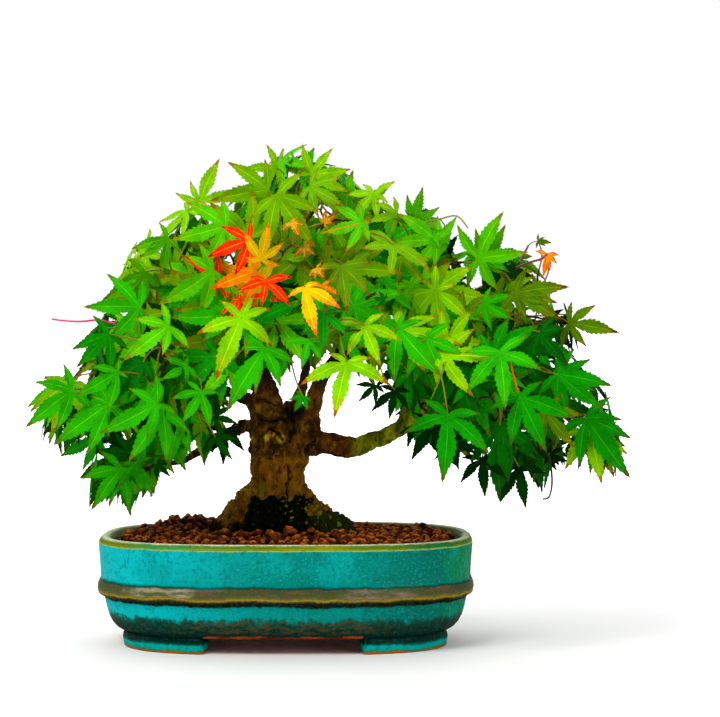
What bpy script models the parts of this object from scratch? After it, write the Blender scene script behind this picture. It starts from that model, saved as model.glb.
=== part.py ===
"""Japanese maple bonsai growing in an oval glazed pot, at life size.

Sizes below are millimetres from the middle of the pot's foot plane; new_object() turns them
into metres, and stand_on_middle() moves the finished plant so that the middle of its foot
print in plan is the world origin."""

import math
import random

import bmesh
import bpy
from mathutils import Matrix, Vector, noise
from mathutils.bvhtree import BVHTree

MM = 0.001
GAP = 0.3                     # between two pieces that touch on the real plant

# Pot: plan is a superellipse; each pair is (half width, height) up the wall
POT_HALF_WIDTH = 66.0
POT_HALF_DEPTH = 48.5
POT_POWER = 2.9
POT_SEGMENTS = 46
POT_WALL = ((57.3, 5.0), (59.1, 6.2), (61.6, 8.0), (63.0, 12.0), (63.7, 17.2), (65.6, 17.9),
            (66.0, 20.1), (65.6, 22.3), (64.9, 23.0), (65.7, 35.6), (65.1, 37.3),
            (63.4, 38.0), (61.2, 37.7), (59.7, 36.2), (57.0, 12.0), (55.0, 10.0))
FOOT_HEIGHT = 5.0
FOOT_HALF_WIDTH = 57.2
FOOT_DEPTH = 8.5              # from its outer face to its inner face
FOOT_FRONT_START = 27.4       # half of the gap between the two front feet
FOOT_SIDE_START = 14.0        # half of the gap between the feet at an end
DRAIN_RADIUS = 5.5
DRAIN_SPACING = 26.0          # each hole's distance from the middle
DRAIN_HEIGHTS = (2.0, 14.0)   # the drill passes right through the floor
FOOT_STEPS = 8
FOOT_SUNK = 0.8               # how far a foot runs up into the pot's body
FOOT_LEAN = 0.5               # how much wider a foot is where it meets the body

# Soil
SOIL_RIM_LEVEL = 36.2
SOIL_RISE = 1.9
SOIL_MOUND = (-37.0, 25.0, 3.0)    # x, y and extra height of the heap behind the left root
SOIL_MOUND_WIDTH = 180.0      # square millimetres in the heap's bell curve
SOIL_BUMP = 0.55
SOIL_FLAT_REACH = 29.0        # flat under the trunk this far out, then eased into the bumps
SOIL_EASE = 6.0
SOIL_SEGMENTS = 40
SOIL_RINGS = 7

# Trunk: (height, axis x, axis y, half width), from the flat cut to the tip
GROUND = 37.5
TRUNK_AXIS = ((37.5, -1.0, 0.0, 12.5), (44.0, -1.8, 0.0, 10.6), (52.0, -2.6, 0.0, 9.3),
              (59.0, -3.0, 0.0, 9.0), (66.0, -2.6, 0.3, 9.6), (72.0, -3.6, 0.6, 8.8),
              (79.0, -6.2, 1.0, 6.2), (84.0, -6.6, 1.4, 5.1), (89.0, -7.6, 1.8, 4.2),
              (95.0, -8.8, 2.4, 3.0), (106.0, -9.0, 3.2, 2.5), (120.0, -7.6, 3.6, 2.1),
              (134.0, -5.4, 3.4, 1.6))
TRUNK_RINGS = (GROUND, 39.5, 42.0, 44.8, 47.6, 50.4, 53.2, 56.0, 59.0, 62.5, 66.0, 69.5, 73.0,
               76.0, 79.0, 82.0, 85.5, 89.0, 92.5, 96.0, 102.0, 110.0, 118.0, 126.0, 134.0)
TRUNK_SEGMENTS = 22
TRUNK_TIP_WAY = (0.1, 0.0, 1.0)
BARK_BUMPS = ((0.5, 0.13), (0.22, 0.4))    # each: height of a bump, bumps to the millimetre
FLARE_TOP = 57.5
# Surface roots: (direction in degrees, reach past the trunk, half angle, fullness)
ROOTS = ((184.0, 13.2, 30.0, 0.7), (-6.0, 13.0, 27.0, 1.5), (-66.0, 5.5, 24.0, 1.2),
         (-122.0, 6.5, 22.0, 1.2), (58.0, 8.5, 26.0, 1.1), (122.0, 8.0, 26.0, 1.1))
# The fork's right arm: x, y, height and half width
FORK = ((-1.5, 0.0, 62.5, 7.4), (2.6, 0.2, 70.5, 6.4), (6.4, 0.5, 75.5, 4.9),
        (8.4, 0.6, 79.5, 3.7))
FORK_SIDES = 14

# Boughs: half width at the base and tip, then the points that the limb passes through.
# The first point lies inside the limb that carries it.
BOUGHS = {
    "bough_right": (4.7, 2.4, ((2.0, 0.0, 69.0), (12.7, 0.0, 70.0), (20.8, 0.0, 68.0),
                               (29.7, 0.0, 70.2), (40.3, -0.5, 75.0), (52.0, -1.5, 82.0))),
    "bough_right_end": (2.2, 1.5, ((51.4, -1.4, 81.6), (59.0, 0.0, 83.0), (68.0, 0.0, 82.0))),
    "bough_right_front": (2.0, 1.4, ((47.6, -1.1, 79.3), (51.0, -14.0, 83.5), (59.5, -25.0, 86.0))),
    "bough_right_back": (2.0, 1.4, ((47.6, -1.1, 79.3), (50.0, 13.0, 84.0), (55.0, 27.0, 91.0))),
    "bough_right_rising": (2.1, 1.4, ((39.5, -0.5, 74.4), (47.0, 1.0, 88.0), (64.0, 1.0, 104.0))),
    "bough_upper_right": (3.3, 1.6, ((8.0, 0.6, 78.4), (10.1, 0.6, 86.0), (12.8, 0.6, 93.0),
                                     (21.0, 0.5, 104.0), (32.0, 0.5, 117.0))),
    "bough_left": (2.1, 1.2, ((-7.0, 0.5, 75.6), (-15.5, 0.0, 75.7), (-23.0, -0.5, 71.4),
                              (-34.0, -1.5, 64.9))),
    "bough_left_middle": (2.1, 1.3, ((-6.6, 1.4, 82.5), (-22.0, 4.0, 88.0), (-39.0, 3.0, 91.0))),
    "bough_left_front": (1.9, 1.3, ((-7.8, 1.8, 89.5), (-17.0, -14.0, 97.0), (-27.0, -31.0, 102.0))),
    "bough_left_back": (2.0, 1.3, ((-7.0, 1.5, 87.0), (-18.0, 18.0, 93.0), (-29.0, 33.0, 98.0))),
    "bough_back": (2.3, 1.4, ((-5.5, 0.8, 77.5), (3.0, 12.0, 84.0), (6.0, 28.0, 94.0),
                              (5.0, 54.0, 105.0))),
    "bough_front": (1.9, 1.3, ((-8.8, 2.6, 98.0), (-4.0, -26.0, 103.5), (6.0, -58.0, 108.0))),
    "bough_upper_left": (1.7, 1.2, ((-9.0, 3.0, 103.0), (-20.0, 0.0, 113.0), (-30.0, -3.0, 121.0))),
    "bough_upper_front": (1.5, 1.1, ((-8.4, 3.4, 113.0), (-5.0, -14.0, 123.0), (-1.0, -30.0, 131.0))),
    "bough_upper_back": (1.5, 1.1, ((-7.8, 3.6, 118.0), (0.0, 18.0, 125.0), (6.0, 30.0, 131.0))),
}
BOUGH_TAPER = 1.3
BOUGH_BUMP = 0.1
PARENTS = {"bough_right_end": "bough_right", "bough_right_front": "bough_right",
           "bough_right_back": "bough_right", "bough_right_rising": "bough_right"}

# Foliage masses: middle, half sizes and the limb that carries the mass
MASSES = {
    "foliage_apex": ((2.0, 0.0, 149.0), (38.0, 42.0, 29.0), "trunk"),
    "foliage_upper_left": ((-31.0, -4.0, 127.0), (32.0, 52.0, 30.0), "bough_upper_left"),
    "foliage_upper_right": ((45.0, 0.0, 131.0), (38.0, 52.0, 30.0), "bough_upper_right"),
    "foliage_upper_front": ((2.0, -52.0, 134.0), (44.0, 36.0, 29.0), "bough_upper_front"),
    "foliage_upper_back": ((8.0, 53.0, 134.0), (44.0, 36.0, 29.0), "bough_upper_back"),
    "foliage_left": ((-60.0, 2.0, 85.0), (32.0, 54.0, 28.0), "bough_left_middle"),
    "foliage_lower_left": ((-55.0, -2.0, 62.0), (28.0, 40.0, 19.0), "bough_left"),
    "foliage_front_left": ((-40.0, -52.0, 101.0), (38.0, 38.0, 32.0), "bough_left_front"),
    "foliage_front": ((17.0, -71.0, 109.0), (42.0, 29.0, 31.0), "bough_front"),
    "foliage_front_right": ((65.0, -46.0, 91.0), (37.0, 39.0, 38.0), "bough_right_front"),
    "foliage_right_low": ((93.0, 0.0, 77.0), (30.0, 54.0, 30.0), "bough_right_end"),
    "foliage_right": ((79.0, 0.0, 111.0), (32.0, 54.0, 31.0), "bough_right_rising"),
    "foliage_back_right": ((60.0, 51.0, 94.0), (38.0, 38.0, 36.0), "bough_right_back"),
    "foliage_back": ((6.0, 73.0, 112.0), (44.0, 29.0, 30.0), "bough_back"),
    "foliage_back_left": ((-44.0, 51.0, 98.0), (38.0, 38.0, 33.0), "bough_left_back"),
}
CROWN_CORE = (8.0, 0.0, 84.0)     # leaves that would face this open middle are left out
INWARD_LIMIT = 16.0
LEAF_SPACING = 18.0
LEAF_DEPTHS = (0.94, 0.9, 0.86, 0.82, 0.78, 0.74, 0.9, 0.8)    # tried in turn; 1 is the skin
LEAF_SLIDES = 5               # times a leaf is moved back towards its own mass
SKIN = 1.05                   # leaf tips may reach just past the named half sizes
STEM_HALF_WIDTH = 1.5
STEM_START = (1.5, 3.0)       # the stem leaves its limb straight for this far, then bends
STEM_REACH = 0.55             # where it ends, as a share of the way to the middle
TWIGS_PER_MASS = 5
TWIG_HALF_WIDTHS = (1.2, 1.1)
TWIG_TOP = 0.92               # twigs point up by this much at most, less for each later one
TWIG_FAN = 1.35
TWIG_REACH = 0.55             # twig ends, as a share of the way from middle to skin
TWIG_STEP = 0.13              # between two twigs along the stem
TWIG_FOOT = 0.97              # where along a twig its first leaf sits
STALK_STEP = 0.12             # between two leaves along a twig
GOLDEN_ANGLE = math.pi * (3.0 - math.sqrt(5.0))

# Leaf: (degrees from the middle lobe, reach as a share of the middle lobe's length)
LEAF_OUTLINE = ((0, 1.0), (22, 0.4), (46, 0.92), (71, 0.36), (99, 0.66), (180, 0.1),
                (-99, 0.66), (-71, 0.36), (-46, 0.92), (-22, 0.4))
LEAF_LENGTH = (17.0, 22.5)    # middle lobe, from where the lobes meet to its tip
LEAF_HALF_THICKNESS = 0.35
LEAF_DROOP = (0.08, 0.24)
STALK_HALF_WIDTHS = (0.5, 0.42)   # at the leaf and at the twig
STALK_FACES = 7
STALK_FREE = 0.3              # share of a stalk, from its twig, that may cross others
LEAF_FACES_OUT = 0.75         # how a blade faces: out of its mass, up, and turned at random
LEAF_FACES_UP = 0.3
LEAF_TURN = 0.95
LEAF_STRAY = 0.12
LEAF_HANGS_OUT = 0.6          # how its tip points: away from the trunk and down
LEAF_HANGS_DOWN = 0.8
TIP_STRAY = 0.3
LEAST_FACING = 0.35           # a blade that faces its stalk less than this is turned to FACING
FACING = 0.5

PAINT = {
    "glaze": ((0.0, 0.40, 0.38), 0.18),
    "clay": ((0.22, 0.07, 0.02), 0.95),
    "bark": ((0.16, 0.09, 0.03), 0.85),
    "leaf": ((0.07, 0.36, 0.01), 0.55),
}


def clear_scene():
    for old in list(bpy.data.objects):
        bpy.data.objects.remove(old, do_unlink=True)


def material(name):
    """The Principled material of one finish, made once."""
    found = bpy.data.materials.get(name)
    if found:
        return found
    colour, roughness = PAINT[name]
    made = bpy.data.materials.new(name)
    made.use_nodes = True
    shader = made.node_tree.nodes["Principled BSDF"]
    shader.inputs["Base Color"].default_value = (*colour, 1.0)
    shader.inputs["Roughness"].default_value = roughness
    shader.inputs["Metallic"].default_value = 0.0
    return made


def new_object(name, points, faces, finish):
    """An object in the scene, from points in millimetres and faces that may be any polygons."""
    mesh = bpy.data.meshes.new(name)
    mesh.from_pydata([Vector(point) * MM for point in points], [], faces)
    mesh.materials.append(material(finish))
    made = bpy.data.objects.new(name, mesh)
    bpy.context.scene.collection.objects.link(made)
    shell = bmesh.new()
    shell.from_mesh(mesh)
    bmesh.ops.recalc_face_normals(shell, faces=shell.faces)
    shell.to_mesh(mesh)
    shell.free()
    return made


def loft(rings):
    """Points and faces of a closed tube through rings of equal length, both ends filled."""
    count = len(rings[0])
    points = [point for ring in rings for point in ring]
    faces = [tuple(range(count))[::-1]]
    for low in range(len(rings) - 1):
        for i in range(count):
            j = (i + 1) % count
            faces.append((low * count + i, low * count + j,
                          (low + 1) * count + j, (low + 1) * count + i))
    faces.append(tuple(range(len(points) - count, len(points))))
    return points, faces


def apply_modifiers(made):
    graph = bpy.context.evaluated_depsgraph_get()
    old = made.data
    baked = bpy.data.meshes.new_from_object(made.evaluated_get(graph))
    made.modifiers.clear()
    made.data = baked
    bpy.data.meshes.remove(old)
    baked.name = made.name


def combine(made, others, operation, solver="EXACT"):
    """Joins or cuts an object with a list of others in one Boolean, then removes the others."""
    helpers = bpy.data.collections.new("helpers")
    bpy.context.scene.collection.children.link(helpers)
    for other in others:
        helpers.objects.link(other)
        bpy.context.scene.collection.objects.unlink(other)
    boolean = made.modifiers.new("combine", "BOOLEAN")
    boolean.operation = operation
    boolean.operand_type = "COLLECTION"
    boolean.collection = helpers
    boolean.solver = solver
    apply_modifiers(made)
    for other in others:
        bpy.data.objects.remove(other, do_unlink=True)
    bpy.data.collections.remove(helpers)


def keep_outer_shell(made):
    """Drops the loose scraps and sealed hollows that a union can leave."""
    shell = bmesh.new()
    shell.from_mesh(made.data)
    unseen = set(shell.faces)
    groups = []
    while unseen:
        group, edge_of = [], [unseen.pop()]
        while edge_of:
            face = edge_of.pop()
            group.append(face)
            for edge in face.edges:
                for near in edge.link_faces:
                    if near in unseen:
                        unseen.remove(near)
                        edge_of.append(near)
        groups.append(group)
    groups.sort(key=lambda group: sum(face.calc_area() for face in group), reverse=True)
    for group in groups[1:]:
        bmesh.ops.delete(shell, geom=group, context="FACES")
    bmesh.ops.triangulate(shell, faces=shell.faces)
    shell.to_mesh(made.data)
    shell.free()


def shade_round(made, degrees=35.0):
    made.data.shade_smooth()
    made.data.set_sharp_from_angle(angle=math.radians(degrees))


# Pot and soil

def oval_point(half_x, half_y, angle, height):
    """The point of the pot's plan outline that lies in the direction of an angle."""
    c, s = math.cos(angle), math.sin(angle)
    sum_of_powers = abs(c / half_x) ** POT_POWER + abs(s / half_y) ** POT_POWER
    reach = sum_of_powers ** (-1.0 / POT_POWER)
    return Vector((reach * c, reach * s, height))


def oval_ring(half_x, height, count):
    """A ring round the pot, inset evenly from the rim's outline."""
    half_y = half_x - POT_HALF_WIDTH + POT_HALF_DEPTH
    return [oval_point(half_x, half_y, 2.0 * math.pi * i / count, height) for i in range(count)]


def angle_where(axis, distance):
    """The angle at which the foot's outer face is that far out along x (axis 0) or y (axis 1)."""
    half_y = FOOT_HALF_WIDTH - POT_HALF_WIDTH + POT_HALF_DEPTH
    low, high = 0.0, math.pi / 2.0
    for _ in range(40):
        middle = (low + high) / 2.0
        beyond = oval_point(FOOT_HALF_WIDTH, half_y, middle, 0.0)[axis] > distance
        if beyond == (axis == 0):
            low = middle
        else:
            high = middle
    return low


def make_foot(name, turn_x, turn_y):
    """One corner foot: a bar that follows the wall, from the front gap to the end gap."""
    first, last = angle_where(1, FOOT_SIDE_START), angle_where(0, FOOT_FRONT_START)
    half_y = FOOT_HALF_WIDTH - POT_HALF_WIDTH + POT_HALF_DEPTH
    top = FOOT_HEIGHT + FOOT_SUNK
    rings = []
    for i in range(FOOT_STEPS + 1):
        outer = oval_point(FOOT_HALF_WIDTH, half_y, first + (last - first) * i / FOOT_STEPS, 0.0)
        inward = -Vector(((outer.x / FOOT_HALF_WIDTH) ** (POT_POWER - 1.0) / FOOT_HALF_WIDTH,
                          (outer.y / half_y) ** (POT_POWER - 1.0) / half_y, 0.0)).normalized()
        ring = []
        for inset, height in ((0.0, 0.0), (-FOOT_LEAN, top), (FOOT_DEPTH, top), (FOOT_DEPTH, 0.0)):
            point = outer + inward * inset
            ring.append(Vector((point.x * turn_x, point.y * turn_y, height)))
        rings.append(ring)
    return new_object(name, *loft(rings), "glaze")


def make_drain(name, x):
    rings = [[Vector((x + DRAIN_RADIUS * math.cos(math.tau * i / 20),
                      DRAIN_RADIUS * math.sin(math.tau * i / 20), height)) for i in range(20)]
             for height in DRAIN_HEIGHTS]
    return new_object(name, *loft(rings), "glaze")


def make_pot():
    rings = [oval_ring(half_x, height, POT_SEGMENTS) for half_x, height in POT_WALL]
    pot = new_object("pot", *loft(rings), "glaze")
    feet = [make_foot("foot", turn_x, turn_y) for turn_x in (-1, 1) for turn_y in (-1, 1)]
    combine(pot, feet, "UNION")
    combine(pot, [make_drain("drain", x) for x in (-DRAIN_SPACING, DRAIN_SPACING)], "DIFFERENCE")
    keep_outer_shell(pot)
    shade_round(pot, 50.0)


def soil_height(point):
    """The soil's bumpy top, flat under the trunk."""
    half_x = POT_WALL[-3][0]
    half_y = half_x - POT_HALF_WIDTH + POT_HALF_DEPTH
    share = math.hypot(point.x / half_x, point.y / half_y)
    level = SOIL_RIM_LEVEL + SOIL_RISE * max(0.0, 1.0 - share ** 2)
    heap_x, heap_y, heap = SOIL_MOUND
    away = (point.x - heap_x) ** 2 + (point.y - heap_y) ** 2
    level += heap * math.exp(-away / SOIL_MOUND_WIDTH)
    level += SOIL_BUMP * noise.noise(Vector((point.x, point.y, 7.0)) * 0.22)
    flat = GROUND - GAP
    reach = math.hypot(point.x - TRUNK_AXIS[0][1], point.y * 1.25)
    blend = min(1.0, max(0.0, (reach - SOIL_FLAT_REACH) / SOIL_EASE))
    return flat + (level - flat) * blend


def make_soil():
    """Soil that fills the pot to just under its rim, a gap clear of the wall all round."""
    wall = POT_WALL[-3:]
    rings = []
    for half_x, height in ((wall[2][0] - GAP, wall[2][1] + GAP), (wall[1][0] - GAP, wall[1][1] + GAP)):
        rings.append(oval_ring(half_x, height, SOIL_SEGMENTS))
    for step in range(SOIL_RINGS):
        half_x = (wall[0][0] - GAP) * (1.0 - step / SOIL_RINGS)
        half_y = (wall[0][0] - GAP - POT_HALF_WIDTH + POT_HALF_DEPTH) * (1.0 - step / SOIL_RINGS)
        ring = [oval_point(half_x, half_y, math.tau * i / SOIL_SEGMENTS, 0.0)
                for i in range(SOIL_SEGMENTS)]
        for point in ring:
            point.z = soil_height(point)
        rings.append(ring)
    soil = new_object("soil", *loft(rings), "clay")
    shade_round(soil, 60.0)


# Trunk and boughs

def curve(before, start, end, after, t):
    """A smooth curve from start to end that heads past its neighbours on either side."""
    return 0.5 * (2.0 * start + (end - before) * t
                  + (2.0 * before - 5.0 * start + 4.0 * end - after) * t ** 2
                  + (3.0 * start - before - 3.0 * end + after) * t ** 3)


def between(table, height):
    """The row of a table at a height, on a smooth curve through its rows."""
    last = len(table) - 1
    low = max(i for i in range(last) if table[i][0] <= height)
    rows = [table[min(max(low + step, 0), last)] for step in (-1, 0, 1, 2)]
    t = (height - rows[1][0]) / (rows[2][0] - rows[1][0])
    return [curve(*places, t) for places in zip(*(row[1:] for row in rows))]


def flare(angle, height):
    """How far the surface roots push the trunk's foot out in one direction."""
    drop = (FLARE_TOP - height) / (FLARE_TOP - GROUND)
    if drop <= 0.0:
        return 0.0
    out = 0.0
    for direction, reach, half_angle, fullness in ROOTS:
        turn = (math.degrees(angle) - direction + 180.0) % 360.0 - 180.0
        rise = math.sin(drop * math.pi / 2.0) ** (fullness * 1.6)
        out = max(out, reach * rise * math.exp(-((turn / half_angle) ** 2)))
    return out


def bark_bump(point):
    return sum(height * noise.noise(point * often) for height, often in BARK_BUMPS)


def make_trunk():
    """The trunk from its flat cut at the soil to its tip, with the fork's right arm."""
    rings = []
    for height in TRUNK_RINGS:
        x, y, half_width = between(TRUNK_AXIS, height)
        ring = []
        for i in range(TRUNK_SEGMENTS):
            angle = math.tau * i / TRUNK_SEGMENTS
            out = Vector((math.cos(angle), math.sin(angle), 0.0))
            point = Vector((x, y, height)) + out * half_width
            reach = half_width + flare(angle, height)
            reach += bark_bump(point) * min(1.0, half_width / 6.0)
            ring.append(Vector((x, y, height)) + out * reach)
        rings.append(ring)
    trunk = new_object("trunk", *loft(rings), "bark")
    arm_points = [Vector(row[:3]) for row in FORK]
    arm_rings = tube(arm_points, [row[3] for row in FORK], FORK_SIDES, 3)
    arm = new_object("fork", *loft(arm_rings), "bark")
    combine(trunk, [arm], "UNION")
    keep_outer_shell(trunk)
    shade_round(trunk, 60.0)
    return trunk


def smooth_path(points, steps):
    """A smooth curve through the points, with that many steps between each two."""
    path = []
    for i in range(len(points) - 1):
        before = points[max(i - 1, 0)]
        start, end = points[i], points[i + 1]
        after = points[min(i + 2, len(points) - 1)]
        for step in range(steps):
            path.append(curve(before, start, end, after, step / steps))
    path.append(points[-1].copy())
    return path


def tube(points, half_widths, sides, steps):
    """Rings of a tapering limb along a smooth curve, each square to it."""
    path = smooth_path(points, steps)
    side = None
    rings = []
    for i, centre in enumerate(path):
        along = (path[min(i + 1, len(path) - 1)] - path[max(i - 1, 0)]).normalized()
        if side is None:
            side = along.orthogonal().normalized()
        side = (side - along * side.dot(along)).normalized()
        up = along.cross(side)
        place = i / steps
        low = min(int(place), len(half_widths) - 2)
        half_width = half_widths[low] + (half_widths[low + 1] - half_widths[low]) * (place - low)
        rings.append([centre + (side * math.cos(math.tau * k / sides)
                                + up * math.sin(math.tau * k / sides)) * half_width
                      for k in range(sides)])
    return rings


def bough_grain(name):
    """The sides of a bough and the steps between its named points; thick ones get more."""
    return (8, 3) if BOUGHS[name][0] > 3.0 else (6, 2)


def swollen_copy(source, amount):
    """A copy whose skin lies that far outside, for cutting a neighbour clear of it."""
    shell = bmesh.new()
    shell.from_mesh(source.data)
    shell.normal_update()
    moved = [vert.co + vert.normal * vert.calc_shell_factor() * amount * MM
             for vert in shell.verts]
    for vert, place in zip(shell.verts, moved):
        vert.co = place
    mesh = bpy.data.meshes.new("swollen")
    shell.to_mesh(mesh)
    shell.free()
    made = bpy.data.objects.new("swollen", mesh)
    bpy.context.scene.collection.objects.link(made)
    return made


def make_bough(name, carrier):
    """One tapering limb, cut to lie a gap clear of the limb that carries it."""
    base, tip, places = BOUGHS[name]
    points = [Vector(place) for place in places]
    shares = [i / (len(points) - 1) for i in range(len(points))]
    half_widths = [tip + (base - tip) * (1.0 - share) ** BOUGH_TAPER for share in shares]
    sides, steps = bough_grain(name)
    rings = tube(points, half_widths, sides, steps)
    for ring in rings[2:-1]:
        centre = sum(ring, Vector()) / len(ring)
        for i, point in enumerate(ring):
            ring[i] = centre + (point - centre) * (1.0 + BOUGH_BUMP * noise.noise(point * 0.35))
    bough = new_object(name, *loft(rings), "bark")
    combine(bough, [swollen_copy(carrier, GAP)], "DIFFERENCE")
    keep_outer_shell(bough)
    shade_round(bough, 60.0)
    return bough


# Foliage

def inside(point, middle, half_sizes):
    """0 at the middle of a mass, 1 on its skin."""
    away = point - middle
    return math.sqrt(sum((away[k] / half_sizes[k]) ** 2 for k in range(3)))


def reach_towards(half_sizes, direction):
    return 1.0 / math.sqrt(sum((direction[k] / half_sizes[k]) ** 2 for k in range(3)))


def borders_of(name):
    """Planes that part a mass from each of its neighbours, as (point, direction away)."""
    middle, half_sizes = (Vector(size) for size in MASSES[name][:2])
    planes = []
    for other, (other_middle, other_sizes, _) in MASSES.items():
        if other == name:
            continue
        way = Vector(other_middle) - middle
        own = reach_towards(half_sizes, way.normalized())
        theirs = reach_towards(other_sizes, way.normalized())
        if own + theirs > way.length:
            planes.append((middle + way * own / (own + theirs), way.normalized()))
    return planes


def push_back(points, planes, middle, half_sizes):
    """How far points must move to lie in the mass's own space; short once they do."""
    move = Vector()
    for place, way in planes:
        past = max((point - place).dot(way) for point in points) + GAP
        if past > 0.0:
            move -= way * past
    far = max(points, key=lambda point: inside(point, middle, half_sizes))
    past = inside(far, middle, half_sizes) - SKIN
    if past > 0.0:
        move -= (far - middle) * past
    return move


def leaf_shape(root, joint, normal, tip_way, length, droop):
    """Points and faces of a five-lobed leaf and its stalk, from the stalk's root."""
    side = normal.cross(tip_way).normalized()
    points = []
    for degrees, reach in LEAF_OUTLINE:
        angle = math.radians(degrees)
        flat = (tip_way * math.cos(angle) + side * math.sin(angle)) * reach * length
        points.append(joint + flat - normal * droop * length * reach ** 2)
    count = len(points)
    top = count
    points.append(joint + normal * LEAF_HALF_THICKNESS)
    faces = [(top, i, (i + 1) % count) for i in range(count)]
    # the stalk meets the blade's underside in a small triangle round the joint
    along = (joint - root).normalized()
    for end, centre in ((0, joint - normal * LEAF_HALF_THICKNESS), (1, root)):
        for k in range(3):
            angle = math.tau * (k + 0.5) / 3.0 + math.pi
            flat = tip_way * math.cos(angle) + side * math.sin(angle)
            if end:
                flat = (flat - along * flat.dot(along)).normalized()
            points.append(centre + flat * STALK_HALF_WIDTHS[end])
    under, foot = top + 1, top + 4
    owner = [min(range(3), key=lambda k: (points[under + k] - points[i]).length)
             for i in range(count)]
    for i in range(count):
        j = (i + 1) % count
        faces.append((under + owner[i], j, i))
        if owner[i] != owner[j]:
            faces.append((under + owner[i], under + owner[j], j))
    for k in range(3):
        j = (k + 1) % 3
        faces.append((under + k, foot + k, foot + j))
        faces.append((under + k, foot + j, under + j))
    faces.append((foot, foot + 2, foot + 1))
    return points, faces


def grow_twigs(name, root, root_way, planes):
    """The stem of a mass and the twigs that fork from it: a list of (start, end) runs."""
    middle, half_sizes = (Vector(size) for size in MASSES[name][:2])
    bend = root + root_way * STEM_START[1]
    fork = bend + (middle - root) * STEM_REACH
    stem = [root, root + root_way * STEM_START[0], bend, fork]
    twigs = []
    for i in range(TWIGS_PER_MASS):
        height = TWIG_TOP - TWIG_FAN * (i + 0.5) / TWIGS_PER_MASS
        across = math.sqrt(1.0 - height * height)
        turn = i * GOLDEN_ANGLE
        way = Vector((across * math.cos(turn), across * math.sin(turn), height))
        end = middle + Vector(way[k] * half_sizes[k] * TWIG_REACH for k in range(3))
        for _ in range(4):
            end += push_back([end + way * 3.0, end - way * 3.0], planes, middle, half_sizes)
        leave = 0.98 - TWIG_STEP * (TWIGS_PER_MASS - 1 - i)
        twigs.append((bend.lerp(fork, leave), end))
    return stem, twigs


def leaf_sites(name):
    """Places on the skin of a mass that face open air, as (way from its middle, way out)."""
    middle, half_sizes = (Vector(size) for size in MASSES[name][:2])
    a, b, c = (size ** 1.6 for size in half_sizes)
    area = 4.0 * math.pi * ((a * b + a * c + b * c) / 3.0) ** (1.0 / 1.6)
    count = int(area / LEAF_SPACING ** 2)
    planes = borders_of(name)
    sites = []
    for i in range(count):
        height = 1.0 - 2.0 * (i + 0.5) / count
        across = math.sqrt(1.0 - height * height)
        turn = i * GOLDEN_ANGLE
        way = Vector((across * math.cos(turn), across * math.sin(turn), height))
        skin = middle + Vector(way[k] * half_sizes[k] for k in range(3))
        normal = Vector(way[k] / half_sizes[k] for k in range(3)).normalized()
        hidden = any((skin - place).dot(away) > 2.0 for place, away in planes)
        if not hidden and normal.dot(skin - Vector(CROWN_CORE)) > INWARD_LIMIT:
            sites.append((way, normal))
    return sites


def leaf_habit(chance, normal):
    """How one leaf hangs: the way it faces, the way its tip points, its length and droop."""
    face_way = normal * LEAF_FACES_OUT + Vector((0.0, 0.0, LEAF_FACES_UP))
    face_way.rotate(Matrix.Rotation(chance.uniform(-LEAF_TURN, LEAF_TURN), 3, "Z"))
    face_way += Vector(chance.gauss(0.0, LEAF_STRAY) for _ in range(3))
    hang = Vector((normal.x, normal.y, 0.0)) * LEAF_HANGS_OUT - Vector((0.0, 0.0, LEAF_HANGS_DOWN))
    hang += Vector(chance.gauss(0.0, TIP_STRAY) for _ in range(3))
    return face_way.normalized(), hang, chance.uniform(*LEAF_LENGTH), chance.uniform(*LEAF_DROOP)


def hung_leaf(foot, joint, habit):
    """A leaf with its stalk's foot and its blade's joint at two points, hanging by its habit."""
    face_way, hang, length, droop = habit
    along = (joint - foot).normalized()
    if face_way.dot(along) < LEAST_FACING:
        face_way = (face_way + along * (FACING - face_way.dot(along))).normalized()
    tip_way = (hang - face_way * hang.dot(face_way)).normalized()
    return leaf_shape(foot, joint, face_way, tip_way, length, droop)


def grow_mass(name, root, root_way, limbs):
    """A mass of leaves on the twigs of one stem, joined into one solid."""
    chance = random.Random(name)
    middle, half_sizes, _ = MASSES[name]
    middle, half_sizes = Vector(middle), Vector(half_sizes)
    planes = borders_of(name)
    stem, twigs = grow_twigs(name, root, root_way, planes)
    mass = new_object(name, *loft(tube(stem, [STEM_HALF_WIDTH] * 4, 5, 1)), "leaf")
    shapes, wood = [], []
    for start, end in twigs:
        points, faces = loft(tube([start, end], TWIG_HALF_WIDTHS, 3, 1))
        wood.append(BVHTree.FromPolygons(points, faces))
        shapes.append(new_object("twig", points, faces, "leaf"))
    taken = []
    carried = [0] * len(twigs)
    for way, normal in leaf_sites(name):
        for depth in LEAF_DEPTHS:
            joint = middle + Vector(way[k] * half_sizes[k] * depth for k in range(3))
            which = min(range(len(twigs)), key=lambda k: (twigs[k][1] - joint).length)
            place = TWIG_FOOT - STALK_STEP * carried[which]
            foot = twigs[which][0].lerp(twigs[which][1], place)
            habit = leaf_habit(chance, normal)
            for _ in range(LEAF_SLIDES):
                points, faces = hung_leaf(foot, joint, habit)
                move = push_back(points, planes, middle, half_sizes)
                joint += move * 1.05
            if move.length > 0.05:
                continue
            blade = BVHTree.FromPolygons(points, faces[:-STALK_FACES])
            # stalks may cross close to their twig, so the test leaves that stretch out
            short = points[:-3] + [points[k].lerp(points[k - 3], STALK_FREE) for k in (-3, -2, -1)]
            whole = BVHTree.FromPolygons(short, faces)
            if any(blade.overlap(other) for other in wood + limbs):
                continue
            if any(whole.overlap(other) for other in taken + limbs):
                continue
            taken.append(whole)
            carried[which] += 1
            shapes.append(new_object("spray", points, faces, "leaf"))
            break
    # MANIFOLD, as EXACT leaves flat scraps where the thin leaves cross
    combine(mass, shapes, "UNION", "MANIFOLD")
    keep_outer_shell(mass)


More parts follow.
